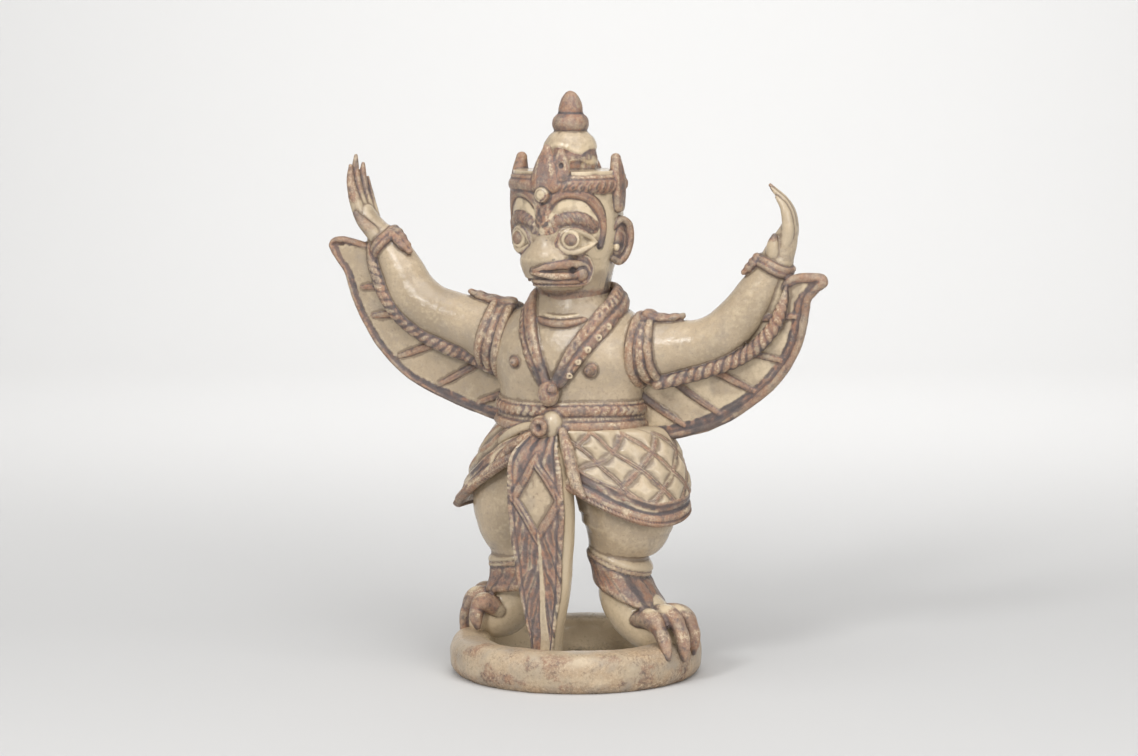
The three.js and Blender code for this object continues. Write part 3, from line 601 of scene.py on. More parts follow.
# The net is two families of slanting lines, a = (row + column) / 2 and b = (row - column) / 2: a strap lies
# where either is near a whole number, and a pillow swells between. In front of the right thigh folds run
# along the hem.
def makeSkirt(values):
    around, rows = values["around"], values["down"]
    turn = circle(around)[None, :]
    down = (np.linspace(0, 1, rows) ** 0.9)[:, None]
    base = skirtPlace(turn, down, 0.9)
    hem = base[-1]
    flat = base.reshape(-1, 3)
    nearest = [((chunk[:, None] - hem[None, ::2]) ** 2).sum(-1).min(1) for chunk in np.array_split(flat, 40)]
    toHem = np.sqrt(np.concatenate(nearest)).reshape(rows, around)
    wobble, ragged = lumps(base, 11, 23), lumps(base, 3.4, 24)
    toHem = toHem + 0.7 * wobble * ramp(2, 9, toHem)
    r = values["rows"] * (down - 0.04) / 0.86 + 0.16 * wobble
    c = (turn - 0.11) * values["columns"] / (2 * np.pi) + 0.12 * lumps(base, 14, 25)
    a, b = (r + c) / 2, (r - c) / 2
    scale = np.hypot(values["rows"] / 2 / 44, values["columns"] / (4 * np.pi) / 60)
    da, db = np.abs(a - np.round(a)) / scale, np.abs(b - np.round(b)) / scale
    d = np.minimum(da, db)
    wrapped = np.arctan2(np.sin(turn), np.cos(turn))
    draped = ramp(-2.15, -1.75, wrapped) * ramp(0.16, -0.02, wrapped)
    inside = ramp(10.6, 12.6, toHem) * ramp(0.0, 0.05, down)
    net = inside * (1 - draped)
    half = values["strapHalf"]
    cords = bell(d, half, 0.45)
    valley = bell(d, 0, 0.5)
    pillow = ramp(half + 0.3, half + 5.4, d)
    band = 1 - ramp(9.8, 11.4, toHem)
    rim = 1 - ramp(3.6, 5.0, toHem)
    edge = bell(toHem, 10.8, 0.9)
    streak = lumps(places(turn * 26, toHem * 0.9, 0.0), 2.6, 21)
    folds = np.sin(0.72 * toHem + 0.9 * wobble + 1.1)
    relief = (
        net * (values["cord"] * cords + values["pillow"] * pillow - 0.2) + 0.5 * edge * (1 - 0.5 * draped))
    relief = relief + inside * draped * 1.1 * folds * ramp(34, 20, toHem)
    relief = relief + 1.6 * bell(toHem, 2.0, 2.3) - 0.45 * bell(toHem, 5.6, 0.9)
    relief = relief + 0.28 * band * (1 - rim) * streak + 0.3 * wobble * rim
    strapPaint = np.exp(-((d - 0.2) / (half + 0.3)) ** 4) * ramp(-0.75, 0.1, ragged + 0.9 * wobble + 0.55)
    iron = np.clip(
        net * 0.95 * strapPaint + 0.9 * rim + 0.8 * edge * (1 - 0.4 * draped)
        + band * (1 - rim) * (0.62 + 0.3 * streak)
        + inside * draped * 0.9 * ramp(0.0, 0.7, folds + 0.3 * ragged),
        0, 1)
    dark = np.clip(net * (0.5 * valley + 0.75 * bell(d - half, 1.0, 0.5) * ramp(-0.5, 0.2, ragged))
                   + band * (1 - rim) * (0.55 + 0.7 * streak + 0.2 * wobble) + 0.55 * bell(toHem, 5.4, 0.8)
                   + inside * draped * 0.6 * ramp(0.55, 0.95, -folds + 0.2 * ragged), 0, 1)
    pool = np.clip(
        net * (0.5 * valley * ramp(-0.1, 0.6, ragged) + 0.3 * pillow) + 0.9 * band * ramp(0.1, 0.6, -streak)
        + 0.5 * rim * ramp(0.0, 0.6, ragged),
        0, 1)
    hemOut = places(np.sin(turn[0]), -np.cos(turn[0]), 0.0)
    curl = np.linspace(0.1, 1, 16)[:, None, None] * np.pi
    centre = hem - hemOut * 1.6
    lip = centre[None] + 2.5 * (np.cos(curl) * hemOut[None] - np.sin(curl) * upward)
    inner = np.linspace(0, 1, 26)[:, None, None]
    insideTop = skirtPlace(turn[0], np.zeros(around), -15)
    under = (hem - hemOut * (1.2 + values["wall"]))[None] * (1 - inner) + insideTop[None] * inner
    outerNormal = unit(np.cross(np.roll(base, -1, 1) - np.roll(base, 1, 1), np.gradient(base, axis=0)))
    if (outerNormal[rows // 2, 0] * hemOut[0]).sum() < 0:
        outerNormal = -outerNormal
    outer = base + outerNormal * relief[..., None]
    rings = np.concatenate([outer, lip + outerNormal[-1][None] * relief[-1][None, :, None], under[1:]])
    extra = np.ones((len(rings) - rows, around))
    made = skin(
        rings, True, iron=np.vstack([iron, 0.9 * extra * ramp(30, 4, np.arange(len(extra)))[:, None]]),
        dark=np.vstack([dark, 0.15 * extra]), pool=np.vstack([pool, 0 * extra]))
    return finishGrid("skirt", made, 0.1, 31)


# Sash.

sashValues = {
    "depth": 19.0,
    "rows": 350,
    "around": 150,
    "edge": 0.25,
    "strap": 0.8,
    "slices": [
        (141, -4, -35, 7), (128, -7.5, -43, 14), (112, -6.5, -45.5, 16.5), (88, -5, -46.8, 16),
        (50, -2.8, -47, 11.5), (28, -2, -47, 7.5), (12, -1.5, -46, 5.5)],
    "rhombus": (0.7, 103.6, 11.0, 17.6),
    "strapWide": 0.4}


# The tongue of cloth: an outline of eight corners carried down a bending path, with its width at each height.
# Broad brown straps cross above and below a plain rhombus, where |x|/w + |z|/h lies just over 1, and brushed
# feathers slant down from them to a pale strip in the middle.
def makeSash(values):
    rows, around = values["rows"], values["around"]
    s = curveAt(values["slices"], np.linspace(0, 1, rows))
    outline = np.array([
        (-1, 0.16), (-0.97, 0.02), (-0.5, 0.03), (0, 0.03), (0.5, 0.03), (0.97, 0.02), (1.02, 0.16),
        (1.12, 0.5), (1.02, 0.9), (0.6, 1.02), (-0.6, 1.02), (-1, 0.85), (-1.04, 0.5)])
    share = np.linspace(0, 1, 400, endpoint=False)
    loop = curveAt(outline, share, True)
    run = np.concatenate([
        [0], np.cumsum(np.linalg.norm(np.diff(np.vstack([loop, loop[:1]]) * [14, 19], axis=0), axis=1))])
    loop = curveAt(
        outline, np.interp(np.arange(around) / around * run[-1], run, np.linspace(0, 1, 401)) % 1, True)
    u, back = loop[None, :, 0], loop[None, :, 1]
    half, z = s[:, 3:4], s[:, 0:1]
    x = u * half
    grid = places(x, 0.0, z)
    shake, fine = lumps(grid, 8, 41), lumps(grid, 2.2, 42)
    front = ramp(0.17, 0.07, back)
    cx, cz, w, h = values["rhombus"]
    d = np.abs(x - cx + 0.9 * shake) / w + np.abs(z - cz) / h
    wide = values["strapWide"]
    low = ramp(91, 85, z)
    strap = ramp(0.97, 1.06, d) * ramp(1.12 + wide, 1.0 + wide, d) * (1 - 0.55 * low)
    seam = bell(d, 1.0, 0.07) + bell(d - 1.06, wide, 0.07)
    ridge = bell(d - 1.03, 0.5 * wide, 0.06)
    inside = ramp(1.02, 0.9, d)
    stripWidth = np.interp(-z[:, 0], [-90, -70, -44, -24, -12], [0.1, 0.9, 1.5, 2.4, 3.2])[:, None]
    fromStrip = np.abs(x - cx - 1.0 + 0.5 * shake) - stripWidth
    strip = ramp(0.6, -0.3, fromStrip) * low
    edgeBand = ramp(0.82, 0.9, np.abs(u)) * ramp(0.25, 0.1, back)
    beads = 0.5 + 0.5 * np.sin(2 * np.pi * z / 3.2 + 2.6 * shake + 1.2 * fine)
    gutter = bell(np.abs(u), 0.79, 0.04)
    feather = np.sin(1.05 * np.abs(x - cx - 1.0) + 0.27 * z + 2.2 * shake + 0.5 * fine)
    upper = ramp(121, 128, z)
    pleats = np.sin(0.8 * (x + 2) + 0.035 * (z - 126) * x + 2.4 * shake + 0.8 * fine)
    ground = (1 - inside) * (1 - strip)
    relief = front * (
        values["strap"] * strap - 0.3 * seam - 0.5 * inside * (1 - upper)
        + values["edge"] * edgeBand * (0.6 + 0.6 * beads) - 0.35 * gutter + 0.3 * strip
        + 0.2 * ground * (1 - strap) * feather * (1 - upper) - 0.15 * ridge * strap + 0.32 * upper * pleats
        + 0.2 * upper * shake + 0.12 * fine)
    topCream = 0.7 * upper * ramp(0.3, 0.9, pleats) * ramp(-0.2, 0.5, fine + shake)
    iron = np.clip(
        front * ground * (0.95 + 0.25 * fine) * (1 - 0.6 * edgeBand * beads * ramp(-0.6, 0.3, shake))
        * (1 - 0.8 * topCream) * (1 - 0.6 * ramp(0.35, 0.9, shake) * low),
        0, 1)
    stroke = ramp(0.25, 0.95, feather)
    dark = np.clip(
        front * (
            0.6 * seam * (1 - upper) * ramp(-0.8, 0.3, fine + 0.3) + 0.55 * gutter + 0.35 * ridge * strap
            + 0.9 * ground * (1 - strap) * stroke * low
            + 0.55 * ground * (1 - strap) * (1 - low) * ramp(-0.2, 0.6, shake + fine)
            + 0.75 * upper * ramp(0.2, 0.9, -pleats + 0.5 * fine)),
        0, 1)
    dark = np.clip(dark + front * edgeBand * 0.35 * (1 - beads) * ramp(-0.5, 0.5, fine), 0, 1)
    # The tongue's side face on the figure's left is painted pale, a painted light on a face that lies in
    # shade.
    pool = np.clip(
        front * (
            0.35 * edgeBand * beads * ramp(-0.4, 0.4, fine) + 0.45 * strip + 0.25 * inside + 0.5 * topCream)
        + 0.25 * ramp(24, 14, z) + ramp(0.99, 1.04, u) * ramp(0.95, 0.8, back),
        0, 1)
    wave = 0.5 * np.sin(z / 11 + 2 * u) * ramp(0.1, 0.4, back)
    rings = places(s[:, 1:2] + x + wave, s[:, 2:3] + back * values["depth"] - relief, z)
    rings[..., 0] += 0.55 * lumps(rings, 14, 43)
    return finishGrid("sash", skin(rings, iron=iron, dark=dark, pool=pool), 0.08, 44)


# Torso, belt and necklace.

torsoValues = {
    "grain": 0.82, "studs": 5,
    "body": [
        (118, -2, 0, 38, 28), (140, -2, 0, 41.2, 31), (158, -2, 0, 42, 31.3), (164, -2, 0, 42.8, 31.6),
        (172, -2, -0.6, 45, 32.4), (179, -2, -1, 46.4, 32.8), (187, -1.6, -1, 45.8, 31.8),
        (195, -1, -1, 42.4, 29.4), (203, 0, -1, 35.6, 26), (209, 0, -1, 26, 23.2),
        (214, 0.2, -2.5, 20.6, 20.4), (220, 0, -3, 19.6, 19.6),
    ],
    # The gathered folds that leave the knot: how brown each is, its half widths and its path.
    "folds": [
        (0.75, [2.6, 3.0, 2.8, 1.8],
         [(-9, -34, 140), (-19, -33.5, 134), (-29, -30.5, 127), (-38, -26.5, 119)]),
        (0.15, [2.2, 2.6, 2.4, 1.4],
         [(-9, -33.5, 144), (-20, -31.8, 141), (-31, -27, 135.5), (-40, -19, 128)]),
        (0.9, [2.4, 2.4, 2.2, 1.2],
         [(-8, -35, 137), (-15, -36, 130), (-21, -35.5, 121), (-26, -34.5, 112)]),
        (0.9, [2.4, 3.6, 3.8, 3.2, 1.6],
         [(6.4, -35.6, 141), (10.4, -38.4, 132.4), (13.6, -40.2, 122.6), (17.2, -41.6, 112.5),
          (21.5, -42.0, 106.0)]),
    ],
    "rightLine": [
        (-8, 17, 217), (-20, 6, 216), (-22.5, -8, 211), (-19.5, -23, 201), (-14.5, -30.5, 187),
        (-5.5, -34.4, 168)],
    "leftLine": [
        (10, 17, 217), (24, 7, 215), (28, -7, 210), (25, -22, 201), (14.5, -31.6, 186), (3.5, -34.6, 168)],
    "lineSizes": [(6.2, 2.6), (7.0, 3.0), (7.4, 3.2), (7.2, 3.2), (6.2, 3.0), (4.2, 2.6)],
}


def makeTorso(values):
    parts = [stack(
        values["body"], sides=150, rows=130, corner=2.05,
        look=lambda a, z: {"iron": 0.2 * ramp(184, 160, z)}, pool=0.05)]
    k = circle(20)

    def belt(height, width, depth, sag, thick, **options):
        loop = places(
            -2 + width * np.sin(k), -depth * np.cos(k), height + sag * np.cos(k) + 0.6 * np.sin(3 * k))
        return roll(loop, [thick, thick], sides=24, steps=260, face=outward, closed=True, **options)

    # The belt: smooth rolls below, and a band with a soft fishbone of slanting notches above them.
    # The lowest roll is pale in streaks along its upper side, a painted highlight.
    parts.append(belt(143.2, 42.2, 31.9, -0.9, (3.4, 3.2), look=lambda a, t: {
        "iron": 0.9, "dark": 0.55 * ramp(0.8, 1, toSide(a)),
        "relief": 0.3 * streaks(a, t, 240, 2.4, 53),
        "pool": 0.75 * ramp(0.15, 0.6, streaks(a, t, 240, 3.0, 54)) * ramp(0.2, 0.7, np.sin(a - 0.7))}))
    parts.append(belt(147.6, 41.6, 31.6, -0.9, (1.2, 1.7), iron=0.35, pool=0.5))

    def fishbone(a, t):
        wave = np.sin(2 * np.pi * 50 * t + 2.2 * np.abs(np.cos(a) + 0.25) + 1.5 * streaks(a, t, 240, 3.4, 55))
        worn = ramp(-0.5, 0.4, streaks(a, t, 240, 7, 56))
        return {"iron": 0.85, "relief": 0.34 * wave * worn, "dark": 0.6 * ramp(0.0, -0.9, wave) * worn,
                "pool": 0.6 * ramp(0.45, 0.95, wave) * (0.4 + 0.6 * worn)}
    parts.append(belt(152.0, 41.7, 31.3, -0.9, (3.4, 2.9), look=fishbone))
    parts.append(belt(155.8, 41.8, 31.2, -0.9, (1.1, 1.3), iron=0.5, pool=0.3))
    # The knot, its pierced boss, and the gathered folds that leave it.
    parts.append(egg((-0.6, -34.4, 144.2), (6.4, 4.8, 7.6), lean=0.15, iron=0.25, pool=0.4))
    parts.append(egg((-5.8, -36.2, 143.0), (6.4, 4.4, 6.4), iron=0.5, pool=0.1))
    parts.append(washer((-5.8, -39.6, 143.0), (-0.1, -1, 0), 3.3, (1.8, 1.7), iron=0.8, pool=0.1))
    # The boss's hole is dented and painted dark, painted shade for its depth.
    parts.append(egg((-5.8, -39.4, 143.0), (1.9, 1.6, 1.9), iron=1, dark=1.0, relief=-1.6))
    for iron, sizes, line in values["folds"]:
        parts.append(roll(line, sizes, sides=18, steps=40, face=outward, pool=0.25, look=lambda a, t: {
            "iron": iron,
            "dark": 0.4 * iron * ramp(0.7, 1, toSide(a))
                + 0.4 * iron * ramp(0.3, 0.8, streaks(a, t, 36, 1.8, 57)),
            "relief": 0.2 * streaks(a, t, 36, 2.0, 58)}))
    # The collar and the broad double necklace.
    inFront = np.cos(k) > 0
    loop = places(
        1 + 21.6 * np.sin(k), -3 - np.where(inFront, 25.6, 21.6) * np.cos(k),
        208.4 - np.where(inFront, 8.6, 4.0) * np.cos(k))
    collar = rustLook(
        150, (0.5, 0.6, 0.95), (0.3, 0.2, 0.8, 2.0, 118), (0.4, 0.4, 0.9, 3.0, 119), (0.2, 2.4, 120))
    parts.append(roll(
        loop, [(2.3, 2.7), (2.3, 2.7)], sides=20, steps=170, face=outward, closed=True, look=collar))
    high = loop + np.array([0, 0, 3.5]) - outward(loop) * 1.6
    parts.append(roll(
        high, [(1.1, 1.4), (1.1, 1.4)], sides=12, steps=170, face=outward, closed=True, iron=0.1, pool=0.7))

    def outOfBody(middle):
        return unit((middle - np.array([0, 8, 195])) * np.array([1, 1, 0.55]))

    # Two bands side by side with a worn groove between them, scratched along their length.
    def strapLook(seed):
        def look(a, t):
            u = np.cos(a)
            rough, coarser = streaks(a, t, 78, 1.7, seed), streaks(a, t, 78, 4.5, seed + 1)
            valley = bell(u, 0.05, 0.16)
            scales = (
                np.sin(2 * np.pi * 21 * t + 4.4 * np.abs(u - 0.4) + 1.2 * coarser) * ramp(0.15, 0.3, u)
                * ramp(0.85, 0.7, u))
            edge = np.abs(u)
            return {
                "iron": 0.95 - 0.25 * ramp(0.3, 0.8, -coarser),
                "relief": -0.55 * valley + 0.32 * rough + 0.2 * scales + 0.2 * bell(edge, 0.8, 0.12),
                "dark": 0.3 * valley + 0.4 * ramp(0.25, 0.7, rough) + 0.5 * ramp(0.86, 0.98, edge)
                    + 0.6 * ramp(0.84, 0.97, t) + 0.25 * ramp(0.3, 0.9, -scales),
                "pool": 0.8 * ramp(0.25, 0.7, -rough) * ramp(-0.3, 0.4, coarser)
                    + 0.6 * ramp(0.3, 0.9, scales)
                    + 0.5 * ramp(0.8, 0.9, edge) * ramp(0.98, 0.92, edge) * ramp(-0.2, 0.5, coarser)}
        return look

    def grooved(a, t):
        return 1 - 0.1 * bell(np.cos(a), 0.05, 0.2)

    for name, seed in (("rightLine", 151), ("leftLine", 161)):
        parts.append(roll(
            values[name], values["lineSizes"], sides=44, steps=190, face=outOfBody, look=strapLook(seed),
            shape=grooved))
    # Studs along the straps: each centre is dented and painted dark, painted shade for its hole; on the left
    # strap a pale ring goes round it.
    t = np.linspace(0.6, 0.93, values["studs"])
    for name, side in (("leftLine", 1), ("rightLine", -1)):
        spots = curveAt(values[name], t)
        facing = outOfBody(spots)
        across = np.cross(curveAt(values[name], t, slope=True), facing)
        for i in range(len(t)):
            spot = spots[i] + facing[i] * 2.7 + across[i] * (-3.6 if side > 0 else -2.4)
            if side > 0:
                parts.append(washer(spot, facing[i], 1.25, (0.65, 0.7), pool=0.85, iron=0.15))
            parts.append(egg(spot, (0.75, 0.75, 0.75), iron=1, dark=1.0, relief=-0.5, sides=10, rows=8))
    # The pendant and the nipples.
    parts.append(egg((-2.0, -35.6, 161.6), (6.2, 4.9, 7.2), iron=0.95, dark=0.1))
    parts.append(egg((1.2, -38.2, 164.4), (3.0, 2.6, 3.2), iron=0.9))
    parts.append(washer((1.4, -40.4, 164.6), (0.25, -1, 0.2), 1.3, (0.5, 0.5), iron=0.7, pool=0.3))
    parts.append(washer((-3.6, -39.6, 160.2), (-0.2, -1, -0.1), 2.7, (0.6, 0.5), iron=0.9, pool=0.1))
    for x, z, s in ((-24, 178, 1.0), (20.8, 174.8, 1.04)):
        y = -31 - 0.2 * s - 0.9 * (x > 0)
        parts.append(egg((x, y + 2.6, z), (3.9 * s, 2.0, 3.9 * s), iron=0.85))
        parts.append(roll(
            [(x, y + 1.0, z), (x, y - 2.6, z)], [3.0 * s, 1.9 * s], sides=20, steps=10, face=upward,
            ends=0.6, iron=1.0, dark=0.3))
        parts.append(egg((x, y - 3.4, z), (0.9, 1.0, 0.9), iron=1, dark=0.9, relief=-0.6, sides=12, rows=8))
    return joinClay("torso", parts, values["grain"], smoothing=2, crumb=0.1, seed=51)


# Arms, hands and wings.

armValues = {
    "grain": 0.8,
    "right": {
        "side": -1,
        "armletTilt": 0.18,
        "rimWide": 3.2,
        "rimHalf": 1.6,
        "ropeTone": 0.65,
        "ropeTurns": 23,
        "ribSpan": (0.1, 6.5),
        "line": [
            (-24, 0, 181), (-44, 0, 188), (-60, 0, 194.5), (-74, 0, 198.5), (-88, 0, 203), (-99.5, 0, 212),
            (-106.5, 0, 224), (-113, 0, 235.5), (-119, 0, 242)],
        "thick": [20.6, 19.6, 16.2, 14.6, 14.0, 13.5, 12.4, 10.4, 9.2],
        "outer": [
            (-148.6, -5, 238.4), (-145.2, -5, 231.4), (-139.6, -4, 222.6), (-136.2, -3, 210),
            (-130.2, -1, 195.6), (-119.6, 0, 179.2), (-101.9, 1, 163), (-77.2, 2, 151.2), (-55.4, 3, 143.7),
            (-37.4, 3, 138.2)],
        "inner": [
            (-118, -3, 238), (-115.5, -3, 232), (-110, -3, 222), (-105, -2, 213), (-97.5, -1, 204.5),
            (-88, 0, 199), (-76, 1, 193.5), (-62, 2, 187), (-45, 3, 179), (-30, 3, 161)],
        "tip": [
            (-147.4, -5, 240.6), (-143.6, -5, 241.6), (-137.6, -4, 240.8), (-130, -3.4, 238.8),
            (-121.5, -3, 236)],
        "rope": [
            (-124.5, -7, 238.5), (-121.5, -7.5, 227), (-115.5, -7.5, 211.5), (-105.5, -7, 198.3),
            (-91.5, -6, 188.5), (-76, -5.5, 181.5), (-61, -6, 177.0), (-47, -8, 171.0)],
        "ropeThick": [
            (1.2, 1.4), (3.2, 2.6), (4.0, 3.0), (4.2, 3.2), (4.4, 3.2), (4.4, 3.3), (4.4, 3.4), (4.0, 3.2)],
        "ribs": [(0.30, 0.31), (0.53, 0.425), (0.74, 0.59), (0.875, 0.72), (0.99, 0.83)],
        "palm": [(-117, 0, 240), (-121.6, -0.5, 246), (-125.6, -0.8, 252), (-129, -0.6, 258)],
        "palmSizes": [(9.0, 8.6), (8.6, 6.8), (7.8, 5.2), (6.6, 4.2)],
        "fingers": [
            [(-130.5, -5, 255), (-134, -6, 265), (-136.2, -6.4, 275), (-136.4, -6, 284)],
            [(-130, -1.5, 255), (-133.6, -1.8, 268), (-135.4, -1.6, 280), (-135.3, -1, 289.6)],
            [(-128.5, 2.4, 255), (-131.6, 2.8, 266), (-133, 3, 277), (-132.8, 3.2, 285)],
            [(-127.5, 5.8, 254), (-130, 6.2, 263), (-131.4, 6.4, 271), (-131.6, 6.4, 277)]],
        "thumb": [
            (-120.4, -6, 244.0), (-123.6, -8.6, 248.0), (-127.6, -10.0, 252.4), (-131.2, -10.6, 257.0)],
        "brownFrom": 0.24,
        "thumbBrown": 0.2,
        "handFace": (-0.9, 0, 0.4)},
    "left": {
        "side": 1,
        "armletTilt": 0.05,
        "rimWide": 6.0,
        "rimHalf": 2.4,
        "ropeTone": 0.25,
        "ropeTurns": 20,
        "ribSpan": (0.0, 4.6),
        "line": [
            (24, 0, 186), (44, 0, 184.5), (60, 0, 186.5), (74, 0, 189), (87, 0, 194.5), (98.5, 0, 205),
            (107.5, 0, 217.5), (114.5, 0, 229), (118.5, 0, 236)],
        "thick": [19.6, 18.2, 15.2, 13.5, 13.5, 13.1, 11.9, 10.0, 9.2],
        "outer": [
            (146.4, -5, 225.2), (143, -5, 222), (137.4, -4, 215.6), (135.2, -3, 204.4), (130, -1, 187.2),
            (119.2, 0, 171), (102.6, 1, 156.4), (83, 2, 144.6), (59.4, 3, 137.2), (37.4, 3, 133)],
        "inner": [
            (119, -3, 226), (116.5, -3, 220), (112, -3, 213), (106.5, -2, 204), (100, -1, 196.5),
            (90.5, 0, 190), (79, 1, 184.5), (64, 2, 179.5), (46, 3, 174), (30, 3, 158)],
        "tip": [
            (145.4, -5, 227.2), (140.5, -5, 227.6), (133, -4.4, 227), (126.5, -4, 224.4),
            (122.4, -3.6, 219.6)],
        "rope": [
            (126, -6.6, 222), (124.4, -7.5, 213), (120, -7.5, 201.5), (111.4, -7, 191), (99.4, -6, 182.4),
            (84.6, -5.5, 176.3), (69.3, -6, 171.4), (52, -8, 166.4)],
        "ropeThick": [
            (1.1, 1.2), (3.0, 2.6), (4.1, 3.4), (4.4, 3.6), (4.3, 3.6), (4.3, 3.6), (4.2, 3.6), (3.8, 3.2)],
        "ribs": [(0.34, 0.32), (0.6, 0.485), (0.755, 0.615), (0.88, 0.74), (0.97, 0.845)],
        "palm": [(117.4, 0, 235), (120.6, 0, 241.5), (123, 0, 247), (125.2, 0, 253.4)],
        "palmSizes": [(8.8, 9.0), (8.0, 8.2), (7.2, 7.0), (6.2, 5.0)],
        "fingers": [
            [(122.4, -3.6, 241), (126.0, -4.6, 253), (124.2, -4.7, 264.4), (119.6, -4.5, 271)],
            [(122.6, -1.3, 241), (126.6, -1.5, 254), (124.0, -1.5, 266.4), (115.6, -1.2, 275.6)],
            [(122.6, 1.4, 241), (126.6, 1.6, 254), (123.8, 1.6, 267), (113.8, 1.6, 277.2)],
            [(122.4, 4.0, 241), (126.0, 4.8, 253), (123.8, 4.9, 265.4), (118.0, 4.9, 272.4)]],
        "thumb": [(118.6, -4.6, 238), (118.4, -6.6, 243.0), (118.8, -7.6, 246.6), (119.6, -8.0, 250.0)],
        "brownFrom": 0.9,
        "thumbBrown": 0.75,
        "handFace": (1, 0, 0.1)}}


# A ring of clay round an arm at a share of its length, tilted by an angle out of the square.
def bangle(arm, t, thick, proud=0.4, tilt=0.0, **paint):
    centre = curveAt(arm["line"], [t])[0]
    ahead = curveAt(arm["line"], [t], slope=True)[0]
    size = curveAt([(v,) for v in arm["thick"]], [t])[0, 0] + proud
    side = unit(unit(np.cross(ahead, forward)) + ahead * tilt)
    k = circle(16)
    loop = centre + size * (np.cos(k)[:, None] * side + np.sin(k)[:, None] * forward)
    loop = loop + 0.5 * np.sin(3 * k + 9 * t)[:, None] * ahead
    return roll(
        loop, [thick, thick], sides=16, steps=130, face=lambda middle: unit(middle - centre), closed=True,
        **paint)


# A pointed leaf of clay that lies along the arm, turned from its top towards the front by an angle.
def leaf(arm, stations, widths, depths, towardsFront):
    t = np.array([s for s, _ in stations])
    centre, ahead = curveAt(arm["line"], t), curveAt(arm["line"], t, slope=True)
    size = curveAt([(v,) for v in arm["thick"]], t)[:, 0]
    up = np.cross(ahead, forward) * -arm["side"]
    up = up * np.cos(towardsFront) + forward * np.sin(towardsFront)
    lift = np.array([h for _, h in stations])

    def look(a, t):
        vein, top = bell(np.cos(a), 0, 0.2), ramp(0, 1, np.sin(a))
        return {
            "iron": 0.95,
            "dark": 0.6 * vein * top + 0.4 * ramp(0.8, 1, toSide(a))
                + 0.4 * ramp(0.3, 0.8, streaks(a, t, 16, 1.4, 64)),
            "relief": -0.4 * vein * top + 0.3 * np.sin(19 * t) + 0.2 * streaks(a, t, 16, 1.6, 65),
            "pool": 0.45 * ramp(0.4, 0.9, streaks(a, t, 16, 2.2, 66))}
    return roll(
        centre + up * (size + lift)[:, None], list(zip(widths, depths)), sides=22, steps=50, face=up[1],
        look=look)


